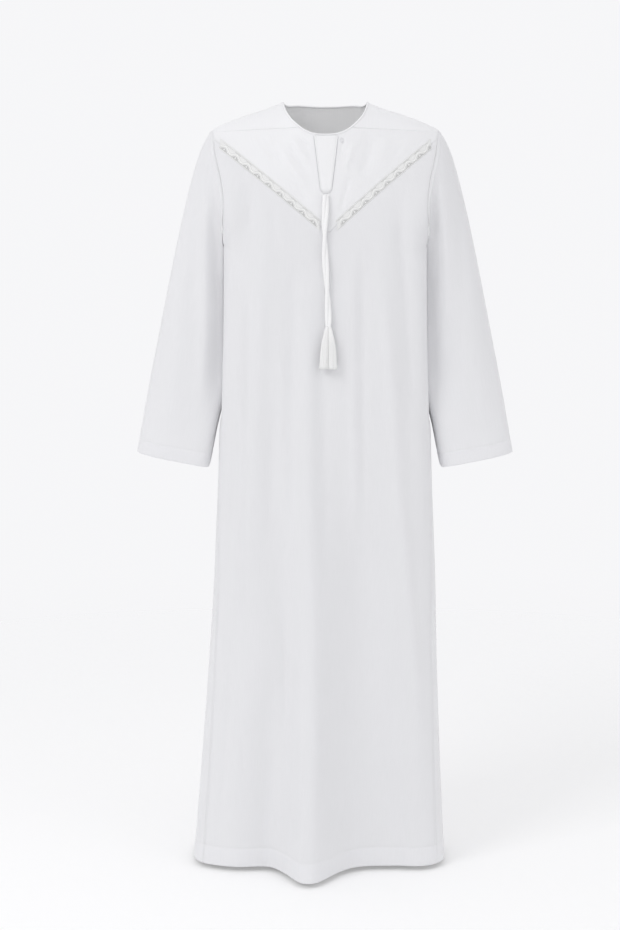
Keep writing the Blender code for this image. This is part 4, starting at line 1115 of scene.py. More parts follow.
def make_surroundings():
    """Even daylight, a pale backdrop behind everything, and a floor that fades into it."""
    scene = bpy.context.scene
    scene.view_settings.view_transform = "Standard"
    world = bpy.data.worlds.new("studio")
    world.use_nodes = True
    scene.world = world
    nodes = Nodes(world.node_tree)
    back = next(n for n in world.node_tree.nodes if n.type == "BACKGROUND")
    back.inputs["Color"].default_value = (0.985, 0.985, 1.0, 1.0)
    seen = nodes.add("ShaderNodeLightPath").outputs["Is Camera Ray"]
    strength = nodes.add("ShaderNodeMapRange", {"Value": seen, "To Min": DAYLIGHT, "To Max": BACKDROP})
    world.node_tree.links.new(strength.outputs[0], back.inputs["Strength"])

    make_light("key", KEY_AT, KEY_SIZE, KEY_POWER)
    make_light("fill", FILL_AT, FILL_SIZE, FILL_POWER)

    signs = ((-1, -1), (1, -1), (1, 1), (-1, 1))
    corners = [(sx * FLOOR_REACH, sy * FLOOR_REACH, FLOOR_Z) for sx, sy in signs]
    mesh = bpy.data.meshes.new("floor")
    mesh.from_pydata(corners, [], [(0, 1, 2, 3)])
    made, nodes, shader = new_finish(
        "floor_paint", Base_Color=(0.9, 0.9, 0.9, 1.0), Roughness=0.8, Specular_IOR_Level=0.1,
        Emission_Color=(1.0, 1.0, 1.0, 1.0), Emission_Strength=FLOOR_GLOW)
    solid = nodes.add("ShaderNodeTexCoord").outputs["Object"]
    level = nodes.add("ShaderNodeVectorMath", {0: solid, 1: (1.0, 1.0, 0.0)}, operation="MULTIPLY").outputs[0]
    radius = nodes.add("ShaderNodeVectorMath", {0: level}, operation="LENGTH").outputs["Value"]
    fade = nodes.add("ShaderNodeMapRange", {"Value": radius, "From Min": FLOOR_SOLID, "From Max": FLOOR_REACH,
                                            "To Min": 1.0, "To Max": 0.0}, interpolation_type="SMOOTHSTEP")
    made.node_tree.links.new(fade.outputs[0], shader.inputs["Alpha"])
    mesh.materials.append(made)
    new_piece("floor", mesh)


# ---------------------------------------------------------------- cord and tassel


def tube(points, radius, sides, ply=0):
    """Rings of points round a line: radius is one number for each point; ply gives it twisted plies."""
    way = unit(np.gradient(points, axis=0))
    side = unit(np.cross(way, np.array([0.0, 1.0, 0.0])))
    other = np.cross(way, side)
    angle = np.linspace(0, 2 * np.pi, sides, endpoint=False)
    ring = radius[:, None] * np.ones(sides)
    if ply:
        run = run_along(points)
        twist = 2 * np.pi * run[:, None] / PLY_PITCH
        ring = ring * (1 - PLY_DEPTH + PLY_DEPTH * np.abs(np.sin(ply / 2 * (angle + twist / ply))))
    circle = side[:, None] * np.cos(angle)[:, None] + other[:, None] * np.sin(angle)[:, None]
    return points[:, None] + circle * ring[..., None]


def tubes_mesh(name, tubes, finish):
    """One mesh from grids of rings, each closed at both ends."""
    points, faces, first = [], [], 0
    for rings in tubes:
        count, sides = rings.shape[:2]
        points.append(rings.reshape(-1, 3))
        grid = first + np.arange(count * sides).reshape(count, sides)
        after = np.roll(grid, -1, axis=1)
        faces += np.stack([grid[:-1], after[:-1], after[1:], grid[1:]], axis=2).reshape(-1, 4).tolist()
        faces.append(grid[0][::-1].tolist())
        faces.append(grid[-1].tolist())
        first += count * sides
    mesh = bpy.data.meshes.new(name)
    mesh.from_pydata(np.concatenate(points).tolist(), [], faces)
    mesh.materials.append(finish)
    mesh.shade_smooth()
    return new_piece(name, mesh)


def outward(piece):
    """Turn a closed mesh's faces outwards."""
    volume = 0.0
    for face in piece.data.polygons:
        volume += face.center.dot(face.normal) * face.area
    if volume < 0:
        piece.data.flip_normals()
    return piece


def make_cord():
    """Two plump strands that change places, each of three plies, drawn in at the tassel."""
    route = smooth_route(CORD_ROUTE, 200)
    run = run_along(route)
    turn = np.pi * (route[:, 2] - CROSSING_Z) / HALF_TURN + np.pi / 2
    share, length = CORD_DRAWN_IN
    tight = 1 - share * np.exp(-((run[-1] - run) / length) ** 2)
    strands = []
    for side in (1, -1):
        centre = route.copy()
        centre[:, 0] += side * STRAND_OFFSET * np.cos(turn) * tight
        centre[:, 1] += side * STRAND_OFFSET * 0.75 * np.sin(turn) * tight
        strands.append(tube(centre, STRAND_RADIUS * tight, 20, ply=3))
    cord = outward(tubes_mesh("tassel_cord_twisted", strands, cord_finish))
    return finished(cord, "cord_white", "tassel_cord")


def make_tassel():
    """Two flattened locks of silk, each a core with strands laid round it, below the cord's end."""
    x0, y0, _ = CORD_ROUTE[-1]
    rng = np.random.default_rng(7)
    share = np.linspace(0, 1, 22) ** 1.2
    half = read(TASSEL_PROFILE, share)
    length = TASSEL_TOP_Z - TASSEL_BOTTOM_Z
    parts = []
    for way in (-1, 1):
        middle = np.stack([x0 + way * half * LOCK_SHIFT, y0 - TASSEL_LEAN * share,
                           TASSEL_TOP_Z - length * share], axis=-1)
        width = half * (1 - LOCK_SHIFT)
        depth = half * TASSEL_FLATNESS
        core = tube(middle, width * TASSEL_CORE, 24)
        core[..., 1] = middle[:, None, 1] + (core[..., 1] - middle[:, None, 1]) * (depth / width)[:, None]
        parts.append(core)
        for k in range(LOCK_STRANDS):
            angle = 2 * math.pi * (k + rng.uniform(-0.2, 0.2)) / LOCK_STRANDS
            wave = 0.0003 * np.sin(share * rng.uniform(4, 8) + rng.uniform(0, 6)) * share
            x = middle[:, 0] + width * math.cos(angle) * TASSEL_STRANDS_AT + wave
            y = middle[:, 1] + depth * math.sin(angle) * TASSEL_STRANDS_AT
            z = TASSEL_TOP_Z - (length * rng.uniform(0.990, 1.006)) * share
            thick = TASSEL_STRAND_RADIUS * (0.55 + 0.45 * share) * rng.uniform(0.85, 1.1)
            parts.append(tube(np.stack([x, y, z], axis=-1), thick, 6))
    tassel = outward(tubes_mesh("tassel_strands", parts, tassel_finish))
    return finished(tassel, "tassel_white", "tassel")


# ---------------------------------------------------------------- body panels


def make_front_panel():
    half = armhole_x(V_END_Z)
    across = steps(2 * half, 0.0042) - half
    bottom = v_seam_z(across)
    top_turn = turn_of(across, bottom)
    share = top_turn / np.where(across > 0, top_turn[-1], -top_turn[0])
    rows = upper_rows(V_END_Z, 0.0055)
    z = bottom + (COMMON_Z - bottom) * rows[:, None]
    z = np.concatenate((z, np.repeat(LOWER_LEVELS[:, None], len(across), axis=1)))
    level = np.concatenate((V_END_Z + (COMMON_Z - V_END_Z) * rows, LOWER_LEVELS))
    z[0] -= SEAM_GAP * 0.65
    turn = trimmed(columns(share, level, top_turn[-1]))
    return body_panel("front_panel_cloth", turn, z, body_finish, hem=True)


def make_back_panel():
    level = BACK_SEAM_Z + (COMMON_Z - BACK_SEAM_Z) * upper_rows(BACK_SEAM_Z, 0.0060)
    level = np.concatenate((level, LOWER_LEVELS))
    share = steps(2 * 0.24, 0.0044) / 0.24 - 1
    reach = trimmed(columns(share, level, float(panel_edge(level[0]))))
    z = np.repeat(level[:, None], len(share), axis=1)
    z[0] -= SEAM_GAP / 2
    return body_panel("back_panel_cloth", 2 + reach, z, body_finish, hem=True)


def make_gore(side_name):
    side = 1 if side_name == "left" else -1
    level = np.concatenate((np.linspace(ARMPIT_Z, COMMON_Z, 16), LOWER_LEVELS))
    edge = panel_edge(np.minimum(level, ARMPIT_Z))
    share = steps(0.12, 0.0050) / 0.06 - 1
    reach = trimmed(share * (1 - edge)[:, None])
    z = np.repeat(level[:, None], len(share), axis=1)
    return body_panel(f"gore_{side_name}_cloth", side + reach, z, body_finish, hem=True)


# ---------------------------------------------------------------- yokes, neck and placket


def make_front_yoke():
    neck_angle = np.linspace(-NECK_CORNER_ANGLE, NECK_CORNER_ANGLE, 61)
    close = 1 - np.array([0.0, 0.008, 0.018, 0.032, 0.050])[::-1]
    seam_share = np.concatenate((np.linspace(0, close[0], 26), close[1:]))
    seam_x, seam_z = front_seam(seam_share)
    neck_x, neck_y = neck_curve(neck_angle[1:-1])
    neck_z = shoulder_point(neck_x, neck_y)[:, 2]
    top_x = np.concatenate((-seam_x[::-1], neck_x, seam_x))
    top_z = np.concatenate((seam_z[::-1], neck_z, seam_z))
    bottom_x = top_x * armhole_x(V_END_Z) / armhole_x(FRONT_SEAM_ARM_Z)
    bottom_z = v_seam_z(bottom_x) + SEAM_GAP * 0.65
    top_z = top_z - np.where(np.abs(top_x) >= NECK_CORNER_X - 1e-6, SEAM_GAP / 2, 0)
    share = (steps(0.12, 0.0040) / 0.12)[:, None]
    x = top_x + (bottom_x - top_x) * share
    z = top_z + (bottom_z - top_z) * share
    x[:, 0] += SEAM_GAP / 2
    x[:, -1] -= SEAM_GAP / 2
    return body_panel("front_yoke_cloth", turn_of(x, z), z, yoke_finish, top=FAINT_SEAM, bottom=1)


def yoke_outline():
    """Plan of the shoulder yoke's outer edge: the armhole, then the back seam to its centre."""
    ridge_z = ARMHOLE[0][0]
    front_z = ridge_z + (FRONT_SEAM_ARM_Z - ridge_z) * np.linspace(1, 0, 21)[:-1] ** 2
    back_z = ridge_z + (BACK_SEAM_Z - ridge_z) * np.linspace(0, 1, 26) ** 2
    arm_z = np.concatenate((front_z, back_z))
    arm_x = armhole_x(arm_z)
    back_x = np.linspace(arm_x[-1], 0, 46)[1:]
    x = np.concatenate((arm_x, back_x))
    z = np.concatenate((arm_z, np.full(len(back_x), BACK_SEAM_Z)))
    way = np.where(np.arange(len(x)) < len(front_z), -1, 1)
    _, width, power = BODY[0]
    plan = HALF_DEPTH * (1 - (x / width) ** power) ** (1 / power)
    return x, way * plan * round_shoulder(x, z), len(front_z), len(arm_z)


def make_shoulder_yoke():
    """One piece from seam to seam round the back of the neck, in columns that fan outwards."""
    outer_x, outer_y, ridge, corner = yoke_outline()
    outer_x[:corner] -= SEAM_GAP / 2
    angle = np.concatenate((np.linspace(NECK_CORNER_ANGLE, np.pi / 2, ridge + 1)[:-1],
                            np.linspace(np.pi / 2, np.pi, len(outer_x) - ridge)))
    inner_x, inner_y = neck_curve(angle)
    share = (steps(0.12, 0.0045) / 0.12)[:, None]
    x = inner_x + (outer_x - inner_x) * share
    y = inner_y + (outer_y - inner_y) * share
    seam_x, seam_z = front_seam(share[:, 0])
    seam_y = body_point(turn_of(seam_x, seam_z), seam_z)[:, 1]
    to_ridge = 1 - np.arange(len(outer_x)) / ridge
    y = y + (seam_y - y[:, 0])[:, None] * np.clip(to_ridge, 0, 1)
    y[:, 0] += SEAM_GAP
    y[-1, corner - 1:] -= SEAM_GAP / 2
    mirror = np.array([-1, 1, 1])
    outer, inner = shoulder_point(x, y), shoulder_normal(x, y)
    normal = np.concatenate((inner, inner[:, -2::-1] * mirror), axis=1)
    points = np.concatenate((outer, outer[:, -2::-1] * mirror), axis=1)
    raised = sunk_seams(points, normal, top=0, bottom=1, sides=FAINT_SEAM)
    return shell("shoulder_yoke_cloth", raised, points - normal * CLOTH, points[..., 0], points[..., 1],
                 yoke_finish, inner_face_painted_light_finish, free=False)


def make_neck_binding():
    """Rolled satin binding that runs round inside the edge of the neckline."""
    angle = np.linspace(0, 2 * np.pi, 321)[:-1]
    x, y = neck_curve(angle)
    shrink = 1 - BINDING_INSET / np.hypot(x, y)
    centre = shoulder_point(x * shrink, y * shrink)
    centre[:, 2] -= BINDING_DROP
    way = unit(np.roll(centre, -1, axis=0) - np.roll(centre, 1, axis=0))
    up = shoulder_normal(x * shrink, y * shrink)
    side = unit(np.cross(way, up))
    up = np.cross(side, way)
    turn = np.linspace(0, 2 * np.pi, 17)[:-1]
    rings = centre[:, None] + (side[:, None] * np.cos(turn)[:, None] * BINDING_RADIUS
                               + up[:, None] * np.sin(turn)[:, None] * BINDING_RADIUS * 1.15)
    count, sides = rings.shape[:2]
    grid = np.arange(count * sides).reshape(count, sides)
    down = np.roll(grid, -1, axis=0)
    cells = [grid, np.roll(grid, -1, axis=1), np.roll(down, -1, axis=1), down]
    run = run_along(centre)
    girth = turn * BINDING_RADIUS
    mesh = bpy.data.meshes.new("neck_binding_roll")
    mesh.from_pydata(rings.reshape(-1, 3).tolist(), [], np.stack(cells, axis=2).reshape(-1, 4).tolist())
    flat = np.stack(np.meshgrid(run, girth, indexing="ij"), axis=-1)
    next_flat = np.roll(flat, -1, axis=0)
    corner = [flat, np.roll(flat, -1, axis=1), np.roll(next_flat, -1, axis=1), next_flat]
    uvs = np.stack(corner, axis=2).ravel()
    mesh.uv_layers.new(name="cloth").data.foreach_set("uv", uvs)
    mesh.materials.append(binding_finish)
    mesh.shade_smooth()
    return finished(outward(new_piece("neck_binding_roll", mesh)), "binding_white", "neck_binding")


def laid_on(name, x, z, rise, finish, lift=0.0):
    """A strip that lies on the front, or stands off it by lift; rise is its upper face's height."""
    turn = turn_of(x, z)
    points = body_point(turn, z)
    normal = body_normal(turn, z)
    outer = points + normal * (SEAM_GAP + rise)[..., None]
    inner = points + normal * (SEAM_GAP * 0.4 + lift)
    return shell(name, outer, inner, grid_lengths(points, 1), grid_lengths(points, 0), finish)


def placket_half(share):
    """Half the placket's width: a taper that draws in to the cord at its foot."""
    straight = PLACKET_TOP_HALF + (PLACKET_BOTTOM_HALF - PLACKET_TOP_HALF) * share
    start, narrower = PLACKET_FOOT
    return straight - narrower * smoothstep((share - start) / (1 - start))


def make_placket():
    share = (steps(0.107, 0.0024) / 0.107)[:, None]
    across = np.linspace(-1, 1, 41)
    across = np.sign(across) * np.abs(across) ** 0.8
    x = PLACKET_X + placket_half(share) * across
    z = PLACKET_TOP_Z + (PLACKET_BOTTOM_Z - PLACKET_TOP_Z) * share + 0 * x
    rolled = np.clip(1 - np.abs(across) ** 10, 0, 1) ** 0.5
    seam = np.exp(-((np.abs(across) - 0.86) / 0.05) ** 2) * 0.0004
    fold = np.exp(-((z - PLACKET_FOLD_Z) / 0.0010) ** 2) * 0.0006
    tucked = 1 - 0.7 * smoothstep((share - 0.92) / 0.08)
    rise = PLACKET_WALL * (0.75 + 0.25 * rolled) * tucked - seam - fold
    piece = laid_on("placket_strip", x, z, rise, placket_finish, lift=0.0007)
    return finished(piece, "placket_white", "placket")


def make_placket_shade_lines():
    """Fine dark line down each long edge of the placket: a thread of painted shade, for the shadow beside the
    edge.
    """
    share = np.linspace(0.01, 0.99, 60)
    radius = PLACKET_EDGE_RADIUS * np.maximum(np.sin(np.pi * share) ** 0.3, 0.1)
    lines = []
    for sign in (-1, 1):
        x = PLACKET_X + sign * (placket_half(share) + 0.0006)
        z = PLACKET_TOP_Z + (PLACKET_BOTTOM_Z - PLACKET_TOP_Z) * share
        turn = turn_of(x, z)
        lines.append(tube(body_point(turn, z) + body_normal(turn, z) * 0.0007, radius, 8))
    return finished(outward(tubes_mesh("placket_shade_lines", lines, placket_shade_line_finish)), "placket_white")


# ---------------------------------------------------------------- embroidered bands

REPEAT = 0.0270               # one wave of the vine
VINE_RISE = 0.0030
VINE_MIDDLE = -0.0006
VINE_HALF_WIDTH = 0.0012
VINE_RAISE = 0.0003
# The openwork mounds are a dark sheet of painted shade.
MOUND_HALF = 0.0082           # openwork under each crest of the vine
MOUND_FOOT = -0.0061
MOUND_RISE = 0.0050
MOUND_WALL = 0.0002
TOP_THREAD = 0.0068           # up from the band's middle line, as are the next three
SCALLOP_TOP = -0.0066
# The next two and VINE_SIDES place the darker threads of painted shade.
EDGE_LINES = (0.0059, -0.0065)
CREST_BARS = (0.0043, 0.0049)
CREST_BAR_HALF = 0.0066       # half their length
VINE_SIDES = (-0.0017, 0.0017)  # up from the vine's own middle
SCALLOP_DEPTH = 0.0010
SCALLOP_WIDTH = 0.0046
MOUND_LEAVES = (              # share of the repeat from the vine's low point, place across, tilt
    (0.5, -0.0044, 0.0),
    (0.5, -0.0030, 1.57),
)
HOLLOW_LEAVES = (             # distance from the vine's low point, place across, tilt
    (-0.0030, 0.0012, -0.75),
    (0.0030, 0.0012, 0.75),
    (0.0, 0.0022, 1.57),
)


class Band:
    """One arm of the V: a middle line on the front, and places measured along and across it."""

    def __init__(self, side):
        self.side = side
        self.sign = 1 if side == "left" else -1
        x = np.linspace(BAND_INNER_X[side], self.sign * BAND_END_X, 200)
        self.line = np.stack([x, v_seam_z(x)], axis=-1)
        self.run = run_along(self.line)
        self.length = self.run[-1]

    def spot(self, run, across, lift):
        """Points and normals at distances along and across the band; across is up towards the neck."""
        centre, ahead, behind = [points_at(run + shift, self.run, self.line) for shift in (0, 0.001, -0.001)]
        way = unit(ahead - behind)
        up = np.stack([-way[:, 1], way[:, 0]], axis=-1) * self.sign
        place_at = centre + up * np.broadcast_to(across, (len(centre),))[:, None]
        turn = turn_of(place_at[:, 0], place_at[:, 1])
        normal = body_normal(turn, place_at[:, 1])
        return body_point(turn, place_at[:, 1]) + normal * lift, normal

    def vine(self, run):
        turn = 2 * np.pi * run / REPEAT
        return VINE_MIDDLE - VINE_RISE * (np.cos(turn) + 0.10 * np.cos(3 * turn))


def lines_of(runs):
    """Points and edges of several lines as one guide."""
    edges, first = [], 0
    for run in runs:
        edges += [(first + k, first + k + 1) for k in range(len(run) - 1)]
        first += len(run)
    return np.concatenate(runs), edges


def make_band(band):
    """The net ground of one band."""
    slope = np.gradient(band.line[:, 1], band.line[:, 0])
    half = BAND_WIDTH / 2 * np.hypot(1, slope)
    x = band.line[:, 0] if band.side == "left" else band.line[::-1, 0]
    half = half if band.side == "left" else half[::-1]
    across = np.linspace(1, -1, 15)[:, None]
    z = v_seam_z(x) + across * half
    rise = BAND_WALL * (0.55 + 0.45 * np.clip(1 - np.abs(across) ** 8, 0, 1)) + 0 * z
    piece = laid_on(f"band_{band.side}_net", x + 0 * z, z, rise, band_finish)
    return finished(piece, "band_white", f"trim_{band.side}")


def ribbon(name, band, run, middle, half, wall, lift, finish):
    """A raised strip along the band, its face rounded across."""
    slope = np.gradient(middle, run)
    aside = np.stack([-slope, np.ones_like(slope)], axis=-1) / np.hypot(1, slope)[:, None]
    outer, inner = [], []
    for share in (1, 0.8, 0.45, 0, -0.45, -0.8, -1):
        offset = aside * (half * share)[:, None]
        raised = wall * (0.25 + 0.75 * (1 - share ** 2) ** 0.6)
        outer.append(band.spot(run + offset[:, 0], middle + offset[:, 1], lift + raised)[0])
        inner.append(band.spot(run + offset[:, 0], middle + offset[:, 1], lift - 0.0001)[0])
    outer, inner = np.array(outer), np.array(inner)
    if band.side == "right":
        outer, inner = outer[:, ::-1], inner[:, ::-1]
    piece = shell(name, outer, inner, grid_lengths(outer, 1), grid_lengths(outer, 0), finish, free=False)
    return finished(piece, "band_white")


def make_vine(band):
    """The band's satin vine, which winds from edge to edge and swells at each turn."""
    run = np.linspace(0.003, band.length - 0.003, 460)
    half = VINE_HALF_WIDTH * (1 + 0.25 * np.cos(4 * np.pi * run / REPEAT))
    return ribbon(f"band_{band.side}_vine", band, run, band.vine(run), half, VINE_RAISE,
                  SEAM_GAP + BAND_WALL, embroidery_finish)


def make_mounds(band):
    """Openwork along the band's foot, made darker with painted shade, which rises to a mound under each crest
    of the vine.
    """
    run = np.linspace(0.003, band.length - 0.003, 520)
    from_crest = np.abs((run / REPEAT) % 1 - 0.5) * REPEAT
    height = 0.0005 + MOUND_RISE * np.clip(1 - (from_crest / MOUND_HALF) ** 1.3, 0, 1)
    return ribbon(f"band_{band.side}_mounds", band, run, MOUND_FOOT + height / 2, height / 2, MOUND_WALL,
                  SEAM_GAP + BAND_WALL, openwork_painted_shade_finish)


def make_edge_threads(band):
    """White corded threads along the band: one above, and small scallops below."""
    run = np.linspace(0.001, band.length - 0.001, 420)
    lift = SEAM_GAP + BAND_WALL
    scallop = SCALLOP_TOP - SCALLOP_DEPTH * np.abs(np.sin(np.pi * run / SCALLOP_WIDTH))
    lines = [band.spot(run, TOP_THREAD, lift)[0], band.spot(run, scallop, lift)[0]]
    points, edges = lines_of(lines)
    piece = grown(f"band_{band.side}_edges", CORDED_LINE, points, edges,
                  {"Thread radius": 0.00036, "Finish": embroidery_finish})
    return finished(piece, "band_white")


def make_painted_shade_lines(band):
    """Darker fine threads of painted shade: inside the band's edges, on both sides of the vine, and over its
    crests.
    """
    run = np.linspace(0.003, band.length - 0.003, 420)
    lift = SEAM_GAP + BAND_WALL
    lines = [band.spot(run, across, lift)[0] for across in EDGE_LINES]
    lines += [band.spot(run, band.vine(run) + shift, lift)[0] for shift in VINE_SIDES]
    crests = (np.arange(int(band.length / REPEAT)) + 0.5) * REPEAT
    for crest in crests[crests < band.length - 0.010]:
        bar = np.linspace(crest - CREST_BAR_HALF, crest + CREST_BAR_HALF, 18)
        lines += [band.spot(bar, across, lift)[0] for across in CREST_BARS]
    points, edges = lines_of(lines)
    piece = grown(f"band_{band.side}_outline", CORDED_LINE, points, edges,
                  {"Thread radius": 0.00025, "Finish": outline_painted_shade_finish})
    return finished(piece, "band_white")


def leaf_places(band):
    """Where the leaves of one band lie, as rows of run, across and tilt in radians."""
    rows = []
    for k in range(int(band.length / REPEAT) + 1):
        for offset, across, tilt in MOUND_LEAVES:
            rows.append(((k + offset) * REPEAT, across, tilt))
        for offset, across, tilt in HOLLOW_LEAVES:
            rows.append((k * REPEAT + offset, across, tilt))
    return [row for row in rows if 0.004 < row[0] < band.length - 0.004]


def make_leaves(band):
    """Raised leaves: three over each hollow of the vine, two in each mound."""
    run, across, tilt = np.array(leaf_places(band)).T
    lift = SEAM_GAP + BAND_WALL + 0.0001
    points, normals = band.spot(run, across, lift)
    step = 0.0010
    tips, _ = band.spot(run + step * np.cos(tilt), across + step * np.sin(tilt), lift)
    piece = grown(f"band_{band.side}_leaves", LEAVES, points, [],
                  {"Leaf length": 0.0040, "Leaf half width": 0.0009, "Finish": embroidery_finish},
                  up=normals, way=tips - points)
    return finished(piece, "band_white")


# ---------------------------------------------------------------- sleeves


def armhole_ring(count):
    """Evenly spaced points round the wearer's left armhole, from the armpit by the front and back.

    Gives the points only, the shoulder being half way round.
    """
    ridge_z = ARMHOLE[0][0]
    rise = np.linspace(1, 0, 120) ** 2
    z = ridge_z - (ridge_z - ARMPIT_Z) * rise
    side = float(panel_edge(np.array(ARMPIT_Z)))
    turn = turn_of(armhole_x(z), z)
    turn = np.concatenate((np.linspace(1.0, side, 6)[:-1], turn))
    z = np.concatenate((np.full(5, ARMPIT_Z), z))
    halves = []
    for half_turn in (turn, 2 - turn):
        points = body_point(half_turn, z)
        run = run_along(points)
        halves.append(points_at(np.linspace(0, run[-1], count // 2 + 1), run, points))
    front, back = halves
    return np.concatenate((front[:-1], back[::-1][:-1]))


def sleeve_value(name, share):
    rows = np.array(SLEEVE)
    return ease(share, np.linspace(0, 1, len(rows)), rows[:, SLEEVE_COLUMNS.index(name)])


def sleeve_section(share, angle):
    """Squared oval of the sleeve: angle 0 on its inner line, a half turn on its outer line."""
    inner = np.stack([sleeve_value("inner_x", share), sleeve_value("inner_z", share)], axis=-1)
    outer = np.stack([sleeve_value("outer_x", share), sleeve_value("outer_z", share)], axis=-1)
    squareness = np.where(np.cos(angle) > 0, SLEEVE_INNER_SQUARENESS, SLEEVE_SQUARENESS)
    radius = (np.abs(np.cos(angle)) ** squareness + np.abs(np.sin(angle)) ** squareness) ** (-1 / squareness)
    along, depth = radius * np.cos(angle), radius * np.sin(angle)
    inner[:, 0] -= flank_hollow(0, inner[:, 1])
    middle = (inner + outer) / 2
    half = (inner - outer) / 2
    x = middle[:, :1] + half[:, :1] * along
    z = middle[:, 1:] + half[:, 1:] * along
    y = -sleeve_value("half_depth", share)[:, None] * depth
    return np.stack([x, y, z], axis=-1)


def tube_normal(points):
    """Outward normals of a tube's grid of points."""
    around = np.roll(points, -1, axis=1) - np.roll(points, 1, axis=1)
    return unit(np.cross(np.gradient(points, axis=0), around))


def sleeve_grid(side):
    """Points, normals and distance down from the armhole of one sleeve, as on the wearer's left."""
    ring = armhole_ring(96) + np.array([ARMHOLE_GAP, 0, 0])
    angle = np.linspace(0, 2 * np.pi, len(ring), endpoint=False)
    at_cuff = np.array([-0.0044, -0.0028, -0.0014, 0.0, 0.0014, 0.0028, 0.005, 0.010, 0.019, 0.028, 0.034,
                        HEM_DEPTH])
    cuff_top = SLEEVE_LENGTH - HEM_DEPTH
    down = np.concatenate((steps(cuff_top - 0.006, 0.0055, fine_end=False), cuff_top + at_cuff))
    share = down / SLEEVE_LENGTH
    section = sleeve_section(share, angle)
    keep = sleeve_value("armhole_share", share)[:, None, None]
    points = section + keep * (ring - section[0])
    bare, ramp = SLEEVE_CREASE_START
    for face, way in (("front", -1), ("back", 1)):
        facing = smoothstep(way * points[..., 1] / SLEEVE_CREASE_FACE)
        rise = crease_rise(SLEEVE_LINES[(side, face)], points[..., 0], points[..., 2]) * facing
        rise = rise * smoothstep((share[:, None] - bare) / ramp)
        points[..., 1] += way * rise
    x, y, z = np.moveaxis(points, -1, 0)
    resting = flank_x(y, z) + FLANK_GAP
    clear = np.where(np.abs(y) < 0.1, (x + resting + np.hypot(x - resting, FLANK_BEND)) / 2, x)
    top, hold = FLANK_GAP_TOP
    below = smoothstep((top - z) / hold)
    points[..., 0] = x + (np.maximum(clear, x) - x) * below
    return points, tube_normal(points), down


def make_sleeve(side):
    points, normal, down = sleeve_grid(side)
    height = np.broadcast_to((SLEEVE_LENGTH - down)[:, None], points.shape[:2])
    fall = grid_lengths(points, 0)
    drop = SEAM_DROP * np.exp(-(fall / SEAM_SOFT) ** 2)
    turned = np.exp(-((fall - SEAM_ALLOWANCE_AT) / SEAM_ALLOWANCE_HALF) ** 2)
    drop = drop - SEAM_ALLOWANCE_RISE * turned
    outer = points - normal * drop[..., None] + hem_relief(height, normal)
    inner = points - normal * hem_wall(height)[..., None]
    across = np.linspace(0, SLEEVE_GIRTH, points.shape[1] + 1)
    if side == "right":
        mirror = np.array([-1, 1, 1])
        outer, inner = outer[:, ::-1] * mirror, inner[:, ::-1] * mirror
    piece = shell(f"sleeve_{side}_cloth", outer, inner, across, down[:, None], sleeve_finish,
                  inner_face_painted_light_finish, around=True)
    return finished(piece, "cloth_white", f"sleeve_{side}")


# ---------------------------------------------------------------- sewing

STITCH_LIFT = 0.0001
HEM_STITCH_SUNK = 0.0006      # in the hem's groove
GORE_STITCH_INSET = 0.0032    # how far the stitches stand from their seams
ARMHOLE_STITCH_INSET = 0.0034
BACK_STITCH_DROP = 0.0035
NECK_STITCH_DROP = 0.0030


def make_body_sewing():
    """Stitches along the hem, the back yoke seam and the four gore seams."""
    level = HEM_Z + HEM_DEPTH
    runs = [surface_run(np.linspace(-2, 2, 500), np.full(500, level), -HEM_STITCH_SUNK)]
    edge = float(panel_edge(np.array(BACK_SEAM_Z)))
    below_seam = np.full(160, BACK_SEAM_Z - BACK_STITCH_DROP)
    runs.append(surface_run(2 + np.linspace(-edge, edge, 160) * 0.985, below_seam, STITCH_LIFT))
    z = np.linspace(ARMPIT_Z - 0.004, HEM_Z + HEM_DEPTH + 0.002, 260)
    for sign in (1, -1):
        for way in (1, -1):
            turn = panel_edge(np.minimum(z, ARMPIT_Z)) - GORE_STITCH_INSET / QUARTER_ARC
            turn = turn if way == 1 else 2 - turn
            runs.append(surface_run(sign * turn, z, STITCH_LIFT))
    return finished(sewn("sewing_body", runs), "cloth_white")


def make_yoke_sewing():
    """Edge stitches on the placket, the armholes and the neckline."""
    runs = []
    share = np.linspace(0.0, 0.97, 60)
    for sign in (1, -1):
        x = PLACKET_X + sign * placket_half(share) * 0.86
        z = PLACKET_TOP_Z + (PLACKET_BOTTOM_Z - PLACKET_TOP_Z) * share
        turn = turn_of(x, z)
        points, normals = body_point(turn, z), body_normal(turn, z)
        runs.append((points + normals * (SEAM_GAP + PLACKET_WALL - 0.0004), normals))
        z = np.linspace(V_END_Z - 0.012, ARMPIT_Z + 0.004, 90)
        runs.append(surface_run(sign * (panel_edge(z) - ARMHOLE_STITCH_INSET / QUARTER_ARC), z, STITCH_LIFT))
    x, y = neck_curve(np.linspace(-NECK_CORNER_ANGLE * 0.98, NECK_CORNER_ANGLE * 0.98, 120))
    z = shoulder_point(x, y)[:, 2]
    outside = np.abs(x - PLACKET_X) > PLACKET_TOP_HALF + 0.001
    for chosen in (outside & (x < 0), outside & (x > 0)):
        below = z[chosen] - NECK_STITCH_DROP
        runs.append(surface_run(turn_of(x[chosen], below), below, STITCH_LIFT))
    return finished(sewn("sewing_yoke", runs, pitch=0.0026, length=0.0017, radius=0.00022), "yoke_white")


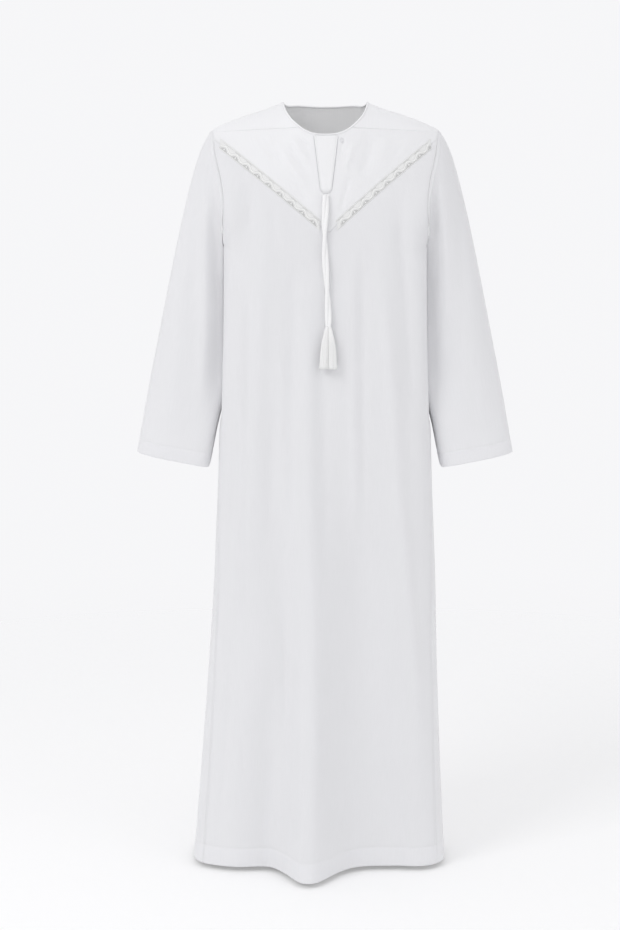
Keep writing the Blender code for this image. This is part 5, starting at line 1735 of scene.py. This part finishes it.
def make_cuff_sewing(side):
    """Stitches round the top of the turned-up cuff."""
    points, normal, down = sleeve_grid(side)
    row = int(np.argmin(np.abs(down - (SLEEVE_LENGTH - HEM_DEPTH))))
    line = np.concatenate((points[row], points[row][:1]))
    up = np.concatenate((normal[row], normal[row][:1]))
    line = line - up * HEM_STITCH_SUNK
    if side == "right":
        line, up = line * np.array([-1, 1, 1]), up * np.array([-1, 1, 1])
    return finished(sewn(f"sewing_cuff_{side}", [(line, up)]), "cloth_white")


def make_neck_loop():
    """Small thread loop and its knot beside the top of the placket."""
    angle = np.linspace(0, 2 * np.pi, 33)[:-1]
    x = LOOP_AT[0] + LOOP_HALF[0] * np.cos(angle)
    z = LOOP_AT[1] + LOOP_HALF[1] * np.sin(angle)
    turn = turn_of(x, z)
    line = body_point(turn, z) + body_normal(turn, z) * 0.0009
    loop = tube(np.concatenate((line, line[:1])), np.full(33, LOOP_THREAD), 8)
    angle = np.linspace(0, np.pi, 11)
    x, z = np.array([KNOT_AT]).T
    turn = turn_of(x, z)
    middle = (body_point(turn, z) + body_normal(turn, z) * 0.0012)[0]
    half_width, half_height = KNOT_HALF
    ball = np.stack([np.full(11, middle[0]), np.full(11, middle[1]), middle[2] + half_height * np.cos(angle)],
                    axis=-1)
    knot = tube(ball, half_width * np.maximum(np.sin(angle), 0.05), 12)
    return finished(outward(tubes_mesh("neck_loop", [loop, knot], sewing_finish)), "yoke_white")


# ---------------------------------------------------------------- build

make_camera()
cord = make_cord()
tassel = make_tassel()
smooth_route(CORD_ROUTE, CORD_POINTS).tolist()
make_surroundings()

body_sewing = make_body_sewing()
yoke_sewing = make_yoke_sewing()
front_panel = finished(make_front_panel(), "cloth_white", "front_panel")
back_panel = finished(make_back_panel(), "cloth_white", "back_panel")
gores = {side: finished(make_gore(side), "cloth_white", f"gore_{side}") for side in ("left", "right")}
front_yoke = finished(make_front_yoke(), "yoke_white", "front_yoke")
shoulder_yoke = finished(make_shoulder_yoke(), "yoke_white", "shoulder_yoke")
make_neck_binding()
placket = make_placket()
placket_shade_lines = make_placket_shade_lines()
neck_loop = make_neck_loop()
sleeves = {side: make_sleeve(side) for side in ("left", "right")}
cuff_sewing = {side: make_cuff_sewing(side) for side in ("left", "right")}

for side in ("left", "right"):
    band = Band(side)
    ground = make_band(band)
    trimming = [make_vine(band), make_mounds(band), make_edge_threads(band), make_painted_shade_lines(band),
                make_leaves(band)]
